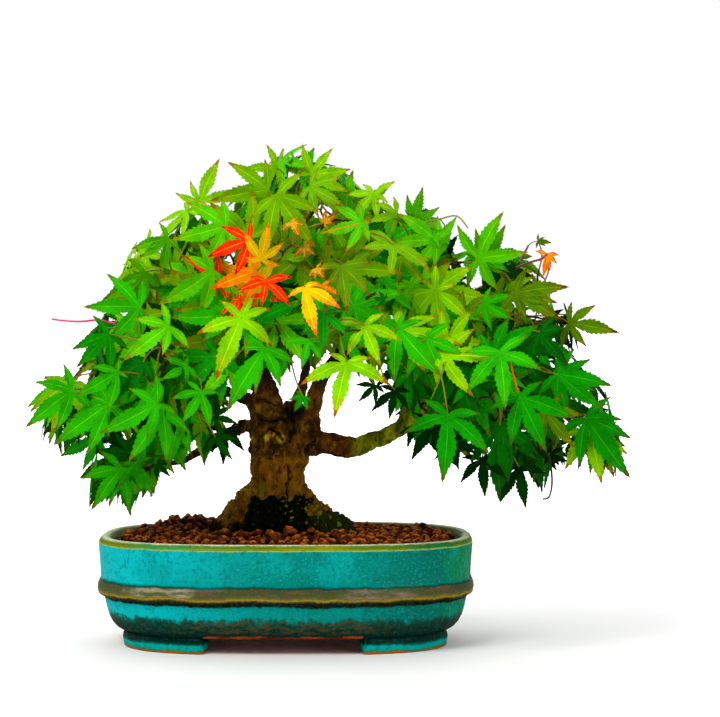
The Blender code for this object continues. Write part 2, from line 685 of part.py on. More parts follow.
def skin_of(made, amount):
    """A search tree of an object's skin, swollen a little, in millimetres."""
    swollen = swollen_copy(made, amount)
    points = [vert.co / MM for vert in swollen.data.vertices]
    faces = [tuple(face.vertices) for face in swollen.data.polygons]
    bpy.data.objects.remove(swollen, do_unlink=True)
    return BVHTree.FromPolygons(points, faces)


def stand_on_middle():
    """Moves every mesh so that the whole plant's plan is centred on the world origin."""
    made = list(bpy.context.scene.objects)
    spots = [made_one.data.vertices for made_one in made]
    x_values = [vert.co.x for verts in spots for vert in verts]
    y_values = [vert.co.y for verts in spots for vert in verts]
    shift = Vector((-(min(x_values) + max(x_values)) / 2.0,
                    -(min(y_values) + max(y_values)) / 2.0, 0.0))
    for made_one in made:
        made_one.data.transform(Matrix.Translation(shift))
        made_one.data.update()


def main():
    clear_scene()
    make_pot()
    make_soil()
    limbs = {"trunk": make_trunk()}
    for name in BOUGHS:
        limbs[name] = make_bough(name, limbs[PARENTS.get(name, "trunk")])
    skins = [skin_of(limb, GAP * 1.5) for limb in limbs.values()]
    for name, (_, _, carrier) in MASSES.items():
        if carrier == "trunk":
            tip = Vector((TRUNK_AXIS[-1][1], TRUNK_AXIS[-1][2], TRUNK_AXIS[-1][0]))
            way = Vector(TRUNK_TIP_WAY).normalized()
        else:
            places = [Vector(place) for place in BOUGHS[carrier][2]]
            path = smooth_path(places, bough_grain(carrier)[1])
            tip, way = path[-1], (path[-1] - path[-2]).normalized()
        grow_mass(name, tip + way * GAP, way, skins)
    stand_on_middle()


main()
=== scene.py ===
import math
import random

import bmesh
import bpy
from mathutils import Matrix, Vector, noise


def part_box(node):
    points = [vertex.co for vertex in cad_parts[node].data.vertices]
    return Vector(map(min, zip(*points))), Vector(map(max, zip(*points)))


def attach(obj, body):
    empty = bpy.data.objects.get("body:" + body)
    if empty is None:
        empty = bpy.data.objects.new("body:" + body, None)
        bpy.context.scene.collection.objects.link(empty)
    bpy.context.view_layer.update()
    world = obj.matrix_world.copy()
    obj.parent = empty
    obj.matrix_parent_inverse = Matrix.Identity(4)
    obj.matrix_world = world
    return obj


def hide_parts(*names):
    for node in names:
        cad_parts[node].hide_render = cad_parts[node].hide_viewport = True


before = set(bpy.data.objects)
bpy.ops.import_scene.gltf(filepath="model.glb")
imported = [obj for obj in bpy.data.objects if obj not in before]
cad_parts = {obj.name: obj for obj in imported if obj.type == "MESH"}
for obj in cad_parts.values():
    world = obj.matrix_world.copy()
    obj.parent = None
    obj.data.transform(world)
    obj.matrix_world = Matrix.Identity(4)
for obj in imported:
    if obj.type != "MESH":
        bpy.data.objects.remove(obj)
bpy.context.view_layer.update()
potLow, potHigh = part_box("pot")
potMiddle = Vector(((potLow.x + potHigh.x) / 2, (potLow.y + potHigh.y) / 2, 0))
mm = 0.001
goldenAngle = math.pi * (3 - math.sqrt(5))

# Sizes below are millimetres from the middle of the pot's foot plane

camera = {"side": 26, "away": 850, "height": 116, "pitch": 1.1,
    "focal": 2405, "wide": 720, "midX": 360, "midY": 358.5}


def inWorld(point):
    return potMiddle + Vector(point) * mm


def scaled(point, sizes, share=1):
    return Vector(point[k] * sizes[k] * share for k in range(3))


def clamp(value, low=0, high=1):
    return min(high, max(low, value))


def cameraAxes():
    pitch = math.radians(camera["pitch"])
    return (Vector((0, math.cos(pitch), -math.sin(pitch))), Vector((0, math.sin(pitch),
        math.cos(pitch))))


def seenAt(point):
    # where a point falls in the frame, in pixels
    ahead, up = cameraAxes()
    away = Vector(point) - Vector((camera["side"], -camera["away"], camera["height"]))
    depth = away.dot(ahead)
    return (camera["midX"] + camera["focal"] * away.x / depth, camera["midY"] - camera["focal"]
        * away.dot(up) / depth)


def alongRay(px, py, y):
    # the point of a pixel's ray at a given depth
    ahead, up = cameraAxes()
    ray = (ahead + Vector((1, 0, 0)) * ((px - camera["midX"]) / camera["focal"]) - up
        * ((py - camera["midY"]) / camera["focal"]))
    return (Vector((camera["side"], -camera["away"], camera["height"])) + ray * ((y + camera["away"])
        / ray.y))


def linked(name, data):
    made = bpy.data.objects.new(name, data)
    bpy.context.scene.collection.objects.link(made)
    return made


def placeCamera():
    made = bpy.data.cameras.new("camera")
    made.sensor_width = 36
    made.lens = camera["focal"] * 36 / camera["wide"]
    made.clip_start, made.clip_end = 0.01, 50
    made.dof.use_dof = False
    holder = linked("camera", made)
    holder.location = inWorld((camera["side"], -camera["away"], camera["height"]))
    holder.rotation_euler = (math.radians(90 - camera["pitch"]), 0, 0)
    bpy.context.scene.camera = holder


# Node helpers

def feed(node, key, value):
    if isinstance(value, bpy.types.NodeSocket):
        node.id_data.links.new(value, node.inputs[key])
    else:
        node.inputs[key].default_value = value


def addNode(tree, kind, feeds=None, **settings):
    node = tree.nodes.new(kind)
    for key, value in settings.items():
        setattr(node, key, value)
    for key, value in (feeds or {}).items():
        feed(node, key, value)
    return node


def shaderTree(name):
    made = bpy.data.materials.new(name)
    made.use_nodes = True
    return made, made.node_tree


def potSpace(tree):
    # millimetres from the middle of the pot's foot plane
    spot = addNode(tree, "ShaderNodeTexCoord")
    return mapped(spot.outputs["Object"], Location=tuple(-potMiddle / mm), Scale=(1 / mm,) * 3)


# The helpers below find the tree to work in from the value that they are given

def mapped(where, **moves):
    return addNode(where.id_data, "ShaderNodeMapping", {"Vector": where, **moves}).outputs[0]


def grain(where, scale, detail=3, stretch=None, roughness=0.55):
    if stretch:
        where = mapped(where, Scale=stretch)
    return addNode(where.id_data, "ShaderNodeTexNoise", {"Vector": where, "Scale": scale,
        "Detail": detail, "Roughness": roughness}).outputs["Fac"]


def sums(operation):
    def run(first, second=0):
        return addNode(first.id_data, "ShaderNodeMath", {0: first, 1: second}, operation=operation).outputs[0]
    return run


plus, minus, times = sums("ADD"), sums("SUBTRACT"), sums("MULTIPLY")
larger, sizeOf = sums("MAXIMUM"), sums("ABSOLUTE")


def parts(where):
    return addNode(where.id_data, "ShaderNodeSeparateXYZ", {0: where}).outputs


def kept(tree, label):
    # a value that the mesh holds
    return addNode(tree, "ShaderNodeAttribute", attribute_name=label).outputs["Fac"]


def spread(value, low, high, start=0, end=1, smooth=True):
    return addNode(value.id_data, "ShaderNodeMapRange", {0: value, 1: low, 2: high, 3: start, 4: end},
        interpolation_type="SMOOTHSTEP" if smooth else "LINEAR").outputs[0]


def zone(value, low, full, empty, most):
    # 1 inside a stretch of a value, 0 beyond both of its ends
    return times(spread(value, low, full), spread(value, empty, most))


def mixed(share, first, second):
    first, second = (colour if isinstance(colour, bpy.types.NodeSocket) else (*colour, 1)
        for colour in (first, second))
    return addNode(share.id_data, "ShaderNodeMix", {0: share, 6: first, 7: second},
        data_type="RGBA").outputs[2]


def over(tone, share, shade):
    return mixed(share, tone, paint(*shade))


def layered(tone, layers):
    # lays colours over a tone, each where its value runs from low to high in its zone
    for inZone, value, low, high, start, end, shade in layers:
        share = spread(value, low, high, start, end)
        tone = over(tone, times(inZone, share) if inZone else share, shade)
    return tone


def ramp(value, stops):
    node = addNode(value.id_data, "ShaderNodeValToRGB", {0: value})
    band = node.color_ramp
    while len(band.elements) < len(stops):
        band.elements.new(0.5)
    for element, (place, colour) in zip(band.elements, stops):
        element.position = place
        element.color = (*paint(*colour), 1)
    return node.outputs[0]


def finished(made, colour, roughness, specular, height, depth, distance):
    # joins a material's colour, gloss and relief to its shader
    shader = made.node_tree.nodes["Principled BSDF"]
    bump = addNode(made.node_tree, "ShaderNodeBump", {"Height": height, "Strength": depth,
        "Distance": distance})
    for key, value in (("Base Color", colour), ("Roughness", roughness), ("Specular IOR Level", specular),
            ("Normal", bump.outputs[0])):
        feed(shader, key, value)
    return made


def paint(red, green, blue):
    # a colour as a screen shows it, 0 to 255, made linear
    return tuple((c / 255 / 12.92) if c <= 10 else ((c / 255 + 0.055) / 1.055) ** 2.4 for c in (red,
        green, blue))


def near(where, centre, radius, soft=0.5):
    # 1 close to a point, 0 outside the radius
    gap = addNode(where.id_data, "ShaderNodeVectorMath", {0: where, 1: centre}, operation="DISTANCE")
    return spread(gap.outputs["Value"], radius * (1 - soft), radius, 1, 0)


# Mesh helpers

def meshOf(name, points, edges=(), faces=()):
    mesh = bpy.data.meshes.new(name)
    mesh.from_pydata(points, edges, faces)
    return mesh


def newPiece(name, points, faces, finishes, picks=None):
    mesh = meshOf(name, [inWorld(point) for point in points], [], faces)
    for finish in finishes:
        mesh.materials.append(finish)
    if picks:
        mesh.polygons.foreach_set("material_index", picks)
    mesh.shade_smooth()
    return linked(name, mesh)


def hold(mesh, label, kind, values, domain="POINT"):
    field = "vector" if kind == "FLOAT_VECTOR" else "value"
    mesh.attributes.new(label, kind, domain).data.foreach_set(field, values)


def bake(made):
    # makes an object's modifiers part of its mesh
    graph = bpy.context.evaluated_depsgraph_get()
    old = made.data
    plain = bpy.data.meshes.new_from_object(made.evaluated_get(graph))
    made.modifiers.clear()
    made.data = plain
    if old.users == 0:
        bpy.data.meshes.remove(old)
    plain.name = made.name
    return made


def loft(rings, closed=True):
    count = len(rings[0])
    points = [point for ring in rings for point in ring]
    faces = []
    for low in range(len(rings) - 1):
        for i in range(count):
            j = (i + 1) % count
            faces.append((low * count + i, low * count + j, (low + 1) * count + j, (low + 1) * count + i))
    if closed:
        faces.append(tuple(range(count))[::-1])
        faces.append(tuple(range(len(points) - count, len(points))))
    return points, faces


def pointOut(made):
    shell = bmesh.new()
    shell.from_mesh(made.data)
    bmesh.ops.recalc_face_normals(shell, faces=shell.faces)
    shell.to_mesh(made.data)
    shell.free()


def growTree(name, sizes):
    tree = bpy.data.node_groups.new(name, "GeometryNodeTree")
    tree.interface.new_socket("Geometry", in_out="INPUT", socket_type="NodeSocketGeometry")
    for label, kind in sizes:
        tree.interface.new_socket(label, in_out="INPUT", socket_type="NodeSocket" + kind)
    tree.interface.new_socket("Geometry", in_out="OUTPUT", socket_type="NodeSocketGeometry")
    return tree, tree.nodes.new("NodeGroupInput"), tree.nodes.new("NodeGroupOutput")


def runTree(made, tree, values):
    modifier = made.modifiers.new(tree.name, "NODES")
    modifier.node_group = tree
    for item in tree.interface.items_tree:
        if item.in_out == "INPUT" and item.name in values:
            modifier[item.identifier] = values[item.name]
    return bake(made)


def endTree(tree, given, result, grown):
    real = addNode(tree, "GeometryNodeRealizeInstances", {0: grown})
    painted = addNode(tree, "GeometryNodeSetMaterial", {0: real.outputs[0], "Material": given.outputs[
        "Finish"]})
    tree.links.new(painted.outputs[0], result.inputs[0])
    return tree


def copiesOf(tree, given, feeds):
    shapes = addNode(tree, "GeometryNodeCollectionInfo", {"Collection": given.outputs["Shapes"],
        "Separate Children": True, "Reset Children": True})
    return addNode(tree, "GeometryNodeInstanceOnPoints", {"Instance": shapes.outputs[0],
        "Pick Instance": True, **feeds}).outputs[0]


def scatterTree(name, density, turnSeed, toneSeed=None):
    # turned copies of a collection's shapes all over a mesh's faces
    tree, given, result = growTree(name, (("Shapes", "Collection"), ("Spacing", "Float"), ("Seed", "Int"),
        ("Small", "Float"), ("Large", "Float"), ("Finish", "Material")))
    spots = addNode(tree, "GeometryNodeDistributePointsOnFaces", {"Mesh": given.outputs["Geometry"],
        "Seed": given.outputs["Seed"], "Distance Min": given.outputs["Spacing"], "Density Max": density},
        distribute_method="POISSON")
    turn = addNode(tree, "FunctionNodeRandomValue", {"Seed": turnSeed, 1: (6.28, 6.28, 6.28)},
        data_type="FLOAT_VECTOR")
    size = addNode(tree, "FunctionNodeRandomValue", {"Seed": 5, 2: given.outputs["Small"],
        3: given.outputs["Large"]}, data_type="FLOAT")
    grown = copiesOf(tree, given, {"Points": spots.outputs["Points"], "Rotation": turn.outputs[0],
        "Scale": size.outputs[1]})
    if toneSeed:
        tone = addNode(tree, "FunctionNodeRandomValue", {"Seed": toneSeed}, data_type="FLOAT")
        grown = addNode(tree, "GeometryNodeStoreNamedAttribute", {"Geometry": grown,
            "Name": "granuleTone", "Value": tone.outputs[1]}, domain="INSTANCE",
            data_type="FLOAT").outputs[0]
    return endTree(tree, given, result, grown)


def scatter(made, tree, shapes, values, finish):
    runTree(made, tree, {"Shapes": shapes, "Spacing": values["spacing"] * mm, "Seed": values["seed"],
        "Small": values["size"][0], "Large": values["size"][1], "Finish": finish})


def addShape(shapes, name, ball):
    mesh = bpy.data.meshes.new(name)
    ball.to_mesh(mesh)
    ball.free()
    shapes.objects.link(bpy.data.objects.new(name, mesh))
    return mesh


def finishPiece(made, nodes=()):
    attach(made, "root")
    if nodes:
        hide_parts(*nodes)
    count = sum(len(face.vertices) - 2 for face in made.data.polygons)
    print("piece", made.name, count, "triangles")


# Pot

pot = {"halfWidth": 66, "halfDepth": 48.5, "power": 2.9, "around": 176,
    "wall": ((57.3, 5.6), (58.4, 6.2), (59.6, 7), (60.8, 8.4), (61.9, 10.4), (62.7, 13),
             (63.3, 15.6), (63.6, 17.3), (64.5, 17.9), (65.7, 18.7), (66, 20.1),
             (65.9, 21.6), (65.4, 22.9), (64.9, 23.9), (65, 27), (65.3, 31.5),
             (65.6, 35.2), (65.5, 36.4), (65, 37.3), (64.2, 37.9), (63.2, 38.1),
             (62.1, 37.9), (61.1, 37.4), (60.2, 36.3), (59.8, 34), (58.6, 24),
             (57, 12.4), (55, 10)),
    "footHalfWidth": 57.2, "footDepth": 8.5, "footFrontStart": 27.4,
    "footSideStart": 14, "footSteps": 26, "footRound": 1.1,
    "drainRadius": 5.5, "drainSpacing": 26}


def ovalPoint(halfX, halfY, angle, height):
    c, s = math.cos(angle), math.sin(angle)
    powers = abs(c / halfX) ** pot["power"] + abs(s / halfY) ** pot["power"]
    reach = powers ** (-1 / pot["power"])
    return Vector((reach * c, reach * s, height))


def ovalRing(halfX, height, count):
    halfY = halfX - pot["halfWidth"] + pot["halfDepth"]
    return [ovalPoint(halfX, halfY, math.tau * i / count, height) for i in range(count)]


def angleWhere(axis, distance):
    halfY = pot["footHalfWidth"] - pot["halfWidth"] + pot["halfDepth"]
    low, high = 0, math.pi / 2
    for _ in range(40):
        middle = (low + high) / 2
        beyond = ovalPoint(pot["footHalfWidth"], halfY, middle, 0)[axis] > distance
        if beyond == (axis == 0):
            low = middle
        else:
            high = middle
    return low


def footPiece(turnX, turnY, finish):
    first, last = angleWhere(1, pot["footSideStart"]), angleWhere(0, pot["footFrontStart"])
    halfX = pot["footHalfWidth"]
    halfY = halfX - pot["halfWidth"] + pot["halfDepth"]
    rings = []
    for i in range(pot["footSteps"] + 1):
        share = i / pot["footSteps"]
        outer = ovalPoint(halfX, halfY, first + (last - first) * share, 0)
        inward = -Vector(((outer.x / halfX) ** (pot["power"] - 1) / halfX,
            (outer.y / halfY) ** (pot["power"] - 1) / halfY, 0)).normalized()
        ring = []
        for inset, height in ((0.5, 0), (0, 0.5), (-0.5, 3.6), (-0.3, 5), (0.6, 6.3), (4.5, 7),
                (pot["footDepth"], 6.6), (pot["footDepth"], 0.5), (pot["footDepth"] - 0.5, 0)):
            point = outer + inward * inset
            ring.append(Vector((point.x * turnX, point.y * turnY, height)))
        rings.append(ring)
    foot = newPiece("foot", *loft(rings), [finish])
    pointOut(foot)
    edge = foot.modifiers.new("edge", "BEVEL")
    edge.width, edge.segments, edge.limit_method = pot["footRound"] * mm, 3, "ANGLE"
    edge.angle_limit = math.radians(60)
    return bake(foot)


# The glaze's colours by height in millimetres. The near-black line under the raised band (17 to 18.7) and the
# dark stretch low on the wall where it curves in over the feet (3.8 to 9) are painted shade. The near-white
# top of the rim (from 37.95) is a painted highlight over the glaze's pale break on the edge
glazeAndPaintedLight = ((0, (170, 84, 4)), (0.6, (160, 92, 8)), (0.95, (30, 104, 40)), (1.2, (0, 150, 140)),
    (2.6, (0, 156, 146)), (3.2, (0, 84, 72)), (3.8, (0, 34, 24)), (7.2, (0, 34, 24)),
    (9, (0, 40, 28)), (11, (4, 56, 42)), (12.2, (0, 90, 78)), (13, (0, 122, 112)),
    (16.6, (0, 130, 122)), (17, (0, 52, 38)), (17.3, (14, 16, 1)), (18.7, (34, 24, 1)),
    (19.1, (84, 66, 4)), (19.5, (150, 120, 22)), (19.9, (104, 92, 26)), (20.8, (66, 70, 30)),
    (22.9, (62, 62, 34)), (23.5, (0, 50, 38)), (24.2, (0, 116, 108)), (29, (0, 122, 113)),
    (35.3, (0, 124, 116)), (35.8, (30, 132, 90)), (36.05, (150, 176, 96)), (36.35, (112, 124, 8)),
    (37.35, (92, 104, 2)), (37.75, (150, 152, 60)), (37.95, (214, 226, 190)), (38.6, (226, 236, 214)))


def glazeFinish():
    made, tree = shaderTree("turquoiseGlaze")
    where = potSpace(tree)
    x, y, z = parts(where)
    wobble = times(minus(grain(where, 0.12), 0.5), 1.9)
    fine = minus(grain(where, 0.9, 4), 0.5)
    drips = times(minus(grain(where, 0.34, 5, (1, 1, 0.6), 0.7), 0.5), 9)
    ragged = plus(times(plus(wobble, fine), spread(z, 36.6, 34.4, 0.3, 1)),
        times(drips, zone(z, 8, 11, 15.6, 12.6)))
    height = plus(z, ragged)
    top = 40
    tone = ramp(spread(height, 0, top, smooth=False), [(place / top, colour) for place, colour in glazeAndPaintedLight])
    onGlaze = larger(zone(height, 23.8, 24.8, 36, 35.6), zone(height, 12, 13.4, 17.2, 16.6))
    onBand = zone(height, 19.9, 20.4, 23.5, 22.9)
    onRim = zone(height, 36.2, 36.5, 37.9, 37.6)
    across = plus(x, times(wobble, 9))
    cloud = grain(where, 0.05, 4)
    bright = grain(mapped(where, Location=(31, 7, 3)), 0.07, 4)
    flecks = grain(where, 0.8, 5, (1, 1, 0.85), 0.7)
    gathered = spread(grain(where, 0.085, 3, (1, 1, 2.2)), 0.36, 0.58, 0.4, 1)
    light = grain(where, 1.1, 5, (1, 1, 1.3), 0.7)
    long = grain(where, 0.3, 5, (0.35, 0.35, 1.6), 0.7)
    tone = layered(tone, (
        # the wall is painted lighter towards the left end and darker towards the right, painted light and
        # shade as from the lamp at the left; the far right end has a greener glaze
        (onGlaze, across, 0, -50, 0, 0.95, (0, 166, 172)),
        (onGlaze, across, 18, 50, 0, 0.9, (0, 96, 80)),
        (onGlaze, across, 51, 58, 0, 0.85, (0, 116, 58)),
        # pools, streaks and specks in it
        (onGlaze, cloud, 0.46, 0.66, 0, 0.4, (0, 98, 88)),
        (onGlaze, bright, 0.52, 0.7, 0, 0.45, (0, 158, 156)),
        (gathered, flecks, 0.49, 0.60, 0, 0.5, (0, 74, 66)),
        (onGlaze, light, 0.53, 0.66, 0, 0.6, (0, 168, 160)),
        # the raised band breaks to grey brown, olive and a paler mint
        (onBand, long, 0.48, 0.60, 0, 0.8, (88, 68, 48)),
        (onBand, long, 0.46, 0.36, 0, 0.7, (48, 76, 10)),
        (onBand, light, 0.56, 0.68, 0, 0.4, (112, 124, 88))))
    for inZone, centre, share, shade in ((onBand, -40, 0.5, (172, 160, 130)), (onBand, 33, 0.6,
            (128, 110, 98)), (onRim, -40, 0.9, (4, 142, 74)), (onRim, 52, 0.9, (0, 108, 52)),
            (onRim, -22, 0.6, (70, 136, 34)), (onRim, 34, 0.6, (50, 116, 30)), (onRim, 10, 0.6,
            (140, 142, 0))):
        aside = sizeOf(minus(across, centre))
        patch = times(spread(aside, 15, 5, 0, share), spread(long, 0.38, 0.56, 0.1, 1))
        tone = over(tone, times(inZone, patch), shade)
    # mottled olive and grey where the glaze runs thin low on the wall, between the feet
    absX, absY = sizeOf(x), sizeOf(y)
    low = zone(height, 7.2, 8, 13, 11)
    streak = grain(where, 0.42, 6, (0.6, 0.6, 1.8), 0.75)
    middle = larger(spread(absX, 40, 26, 0.1, 1), spread(absY, 30, 18))
    tone = layered(tone, ((times(low, middle), streak, 0.44, 0.58, 0, 0.85, (66, 58, 30)),
        (low, light, 0.55, 0.68, 0, 0.5, (60, 92, 62))))
    # bare clay shows in a thin red line between the feet
    gapWall = larger(spread(absX, 27.2, 26.6), spread(absY, 13.6, 13))
    line = times(times(gapWall, spread(height, 6.6, 6.3)), spread(z, 5.15, 5.3))
    clay = mixed(spread(long, 0.42, 0.56), paint(92, 18, 2), paint(168, 70, 6))
    bare = plus(plus(spread(height, 1.2, 0.8), line), times(flecks, 0.3))
    shader = tree.nodes["Principled BSDF"]
    feed(shader, "Coat Weight", 0.07)
    feed(shader, "Coat Roughness", 0.1)
    return finished(made, mixed(line, tone, clay), spread(bare, 0, 1.3, 0.16, 0.8, False), 0,
        plus(times(flecks, 0.6), grain(where, 0.3, 2)), 0.28, 0.0005)


def makePot():
    finish = glazeFinish()
    rings = [ovalRing(halfX, height, pot["around"]) for halfX, height in pot["wall"]]
    made = newPiece("potShell", *loft(rings), [finish])
    pointOut(made)
    feet = [footPiece(x, y, finish) for x in (-1, 1) for y in (-1, 1)]
    drains = []
    for x in (-pot["drainSpacing"], pot["drainSpacing"]):
        circle = [[Vector((x + pot["drainRadius"] * math.cos(math.tau * i / 40), pot["drainRadius"]
            * math.sin(math.tau * i / 40), height)) for i in range(40)] for height in (2, 14)]
        drains.append(newPiece("drain", *loft(circle), [finish]))
        pointOut(drains[-1])
    for operation, others in (("UNION", feet), ("DIFFERENCE", drains)):
        for other in others:
            cut = made.modifiers.new("join", "BOOLEAN")
            cut.operation, cut.object, cut.solver = operation, other, "EXACT"
            bake(made)
            bpy.data.objects.remove(other, do_unlink=True)
    made.data.shade_smooth()
    made.data.set_sharp_from_angle(angle=math.radians(44))
    finishPiece(made, ["pot"])


# Soil and its clay granules

soil = {"rimLevel": 36.2, "rise": 1.9, "mound": (-37, 25, 3), "moundWidth": 180,
    "bump": 0.55, "flatReach": 29, "ease": 6, "ground": 37.5, "gap": 0.3,
    "halfX": 59.7, "patchStep": 1.6}
granules = {"spacing": 3.3, "size": (0.66, 1.3), "radius": 2.05, "seed": 7, "density": 900000,
    "turnSeed": 3, "toneSeed": 11,
    "shapes": 8, "sink": 0.2,
    "dark": ((21.4, 20, 1.5, 0.3), (48.6, 14, 1.6, 0.4), (-32, 24, 1.9, -1),
             (6, 38, 1.8, 0), (-22, 36, 1.6, 0)),
    "clay": ((-41.4, 26, 2.2, -0.9), (-36.6, 26, 1.7, -0.7), (-9.2, -23, 2, 0),
             (-5.2, -24.5, 1.5, 0.2), (2, -23.5, 2.5, 0.5), (-3.2, -28, 2.8, -0.6),
             (9, -21.5, 1.5, 1.2), (18.6, -27, 2.8, 0), (-21, -22, 2.2, 0),
             (-14.6, -26, 1.9, -0.2))}


def soilHeight(x, y):
    halfX = soil["halfX"]
    halfY = halfX - pot["halfWidth"] + pot["halfDepth"]
    share = math.hypot(x / halfX, y / halfY)
    level = soil["rimLevel"] + soil["rise"] * max(0, 1 - share ** 2)
    heapX, heapY, heap = soil["mound"]
    level += heap * math.exp(-((x - heapX) ** 2 + (y - heapY) ** 2) / soil["moundWidth"])
    level += soil["bump"] * noise.noise(Vector((x, y, 7)) * 0.22)
    flat = soil["ground"] - soil["gap"]
    reach = math.hypot(x + 1, y * 1.25)
    return flat + (level - flat) * clamp((reach - soil["flatReach"]) / soil["ease"])


def granuleFinish():
    made, tree = shaderTree("clayGranules")
    where = potSpace(tree)
    colour = ramp(kept(tree, "granuleTone"), ((0, (36, 9, 0)), (0.22, (72, 22, 1)),
        (0.42, (104, 38, 3)), (0.6, (150, 68, 10)), (0.72, (84, 26, 1)), (0.88, (128, 46, 3)),
        (1, (54, 14, 0))))
    crumbs = grain(where, 0.55, 5, None, 0.7)
    facing = parts(addNode(tree, "ShaderNodeNewGeometry").outputs["Normal"])[2]
    paintedLightByFacing = plus(facing, times(minus(crumbs, 0.5), 2.4))
    # painted light and shade: faces that turn up are painted bright as a highlight, undersides painted near
    # black as shade
    colour = layered(colour, ((None, crumbs, 0.50, 0.38, 0, 0.85, (26, 7, 0)), (None, paintedLightByFacing, 0.68,
        1.15, 0, 0.9, (226, 122, 28)), (None, paintedLightByFacing, 0.42, -0.1, 0, 0.96, (8, 2, 0))))
    return finished(made, colour, 0.88, 0.15, grain(where, 1.2, 5, None, 0.7), 0.6, 0.0006)


def soilFinish():
    made, tree = shaderTree("darkSoil")
    where = potSpace(tree)
    # near-black soil bed: the soil's own dark brown, with painted shade for the gaps between the granules
    colour = mixed(grain(where, 0.8, 5), paint(8, 3, 0), paint(36, 14, 2))
    return finished(made, colour, 0.95, 0.5, grain(where, 1.2, 5), 0.8, 0.001)


def makeGranules():
    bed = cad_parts["soil"]
    dark = soilFinish()
    for slotted in bed.material_slots:
        slotted.material = dark
    # a patch that follows the top of the soil carries the granules
    step = soil["patchStep"]
    halfX = soil["halfX"] - 1.9
    halfY = halfX - pot["halfWidth"] + pot["halfDepth"]
    columns, rows = int(2 * halfX / step), int(2 * halfY / step)
    points, faces, index = [], [], {}
    for i in range(columns + 1):
        for j in range(rows + 1):
            x, y = -halfX + i * step, -halfY + j * step
            if abs(x / halfX) ** pot["power"] + abs(y / halfY) ** pot["power"] > 1:
                continue
            if math.hypot(x + 1, y) < 9:
                continue
            index[i, j] = len(points)
            points.append((x, y, soilHeight(x, y) + granules["sink"]))
    for i, j in index:
        corner = [index.get(key) for key in ((i, j), (i + 1, j), (i + 1, j + 1), (i, j + 1))]
        if None not in corner:
            faces.append(corner)
    patch = newPiece("clayGranules", points, faces, [])
    finish = granuleFinish()
    shapes = bpy.data.collections.new("granuleShapes")
    chance = random.Random(granules["seed"])
    for k in range(granules["shapes"]):
        ball = bmesh.new()
        bmesh.ops.create_cube(ball, size=1.2)
        bmesh.ops.subdivide_edges(ball, edges=ball.edges, cuts=1, use_grid_fill=True)
        shift = Vector((chance.random(), chance.random(), chance.random())) * 50
        squash = Vector((chance.uniform(0.85, 1.25), chance.uniform(0.8, 1.1), chance.uniform(0.7, 1)))
        for vert in ball.verts:
            way = vert.co.normalized()
            vert.co = way * granules["radius"] * mm * (1 + 0.3 * noise.noise(way * 1.4 + shift))
            vert.co = scaled(vert.co, squash)
        addShape(shapes, "granule", ball).shade_smooth()
    tree = scatterTree("granuleTree", granules["density"], granules["turnSeed"], granules["toneSeed"])
    scatter(patch, tree, shapes, granules, finish)
    finishPiece(patch)
    # single stones sit on top, dark ones and some of the same clay
    for label, finish in (("dark", plainFinish("darkStone", (34, 18, 6), 0.8, 0.2, 1.4, 0.8)),
            ("clay", bpy.data.materials["clayGranules"])):
        points, faces, tones = [], [], []
        for x, y, radius, lift in granules[label]:
            ball = bmesh.new()
            bmesh.ops.create_icosphere(ball, subdivisions=2, radius=radius)
            start = len(points)
            for vert in ball.verts:
                vert.co *= 1 + 0.6 * noise.noise(vert.co * 0.55 + Vector((x, y, 0)))
                points.append(Vector((x, y, soilHeight(x, y) + granules["sink"] + 1.9 + lift)) + vert.co)
                tones.append(0.44 + 0.2 * math.sin(x))
            faces += [tuple(start + vert.index for vert in face.verts) for face in ball.faces]
            ball.free()
        stones = newPiece(label + "Stones", points, faces, [finish])
        hold(stones.data, "granuleTone", "FLOAT", tones)
        finishPiece(stones)


# Trunk and boughs, by the rule of the part's source

trunk = {"axis": ((37.5, -1, 0, 12.5), (44, -1.8, 0, 10.6), (52, -2.6, 0, 9.3),
             (59, -3, 0, 9), (66, -2.6, 0.3, 9.6), (72, -3.6, 0.6, 8.8),
             (79, -6.2, 1, 6.2), (84, -6.6, 1.4, 5.1), (89, -7.6, 1.8, 4.2),
             (95, -8.8, 2.4, 3), (106, -9, 3.2, 2.5), (120, -7.6, 3.6, 2.1),
             (134, -5.4, 3.4, 1.6)),
    "ground": 37.5, "top": 134, "flareTop": 57.5, "around": 72, "step": 0.9,
    "roots": ((184, 13.2, 30, 0.7), (-6, 13, 27, 1.5), (-66, 5.5, 24, 1.2),
              (-122, 6.5, 22, 1.2), (58, 8.5, 26, 1.1), (122, 8, 26, 1.1)),
    "fork": ((-1.5, 0, 62.5, 7.4), (2.6, 0.2, 70.5, 6.4), (6.4, 0.5, 75.5, 4.9),
             (8.4, 0.6, 79.5, 3.7)),
    "voxel": 0.62}
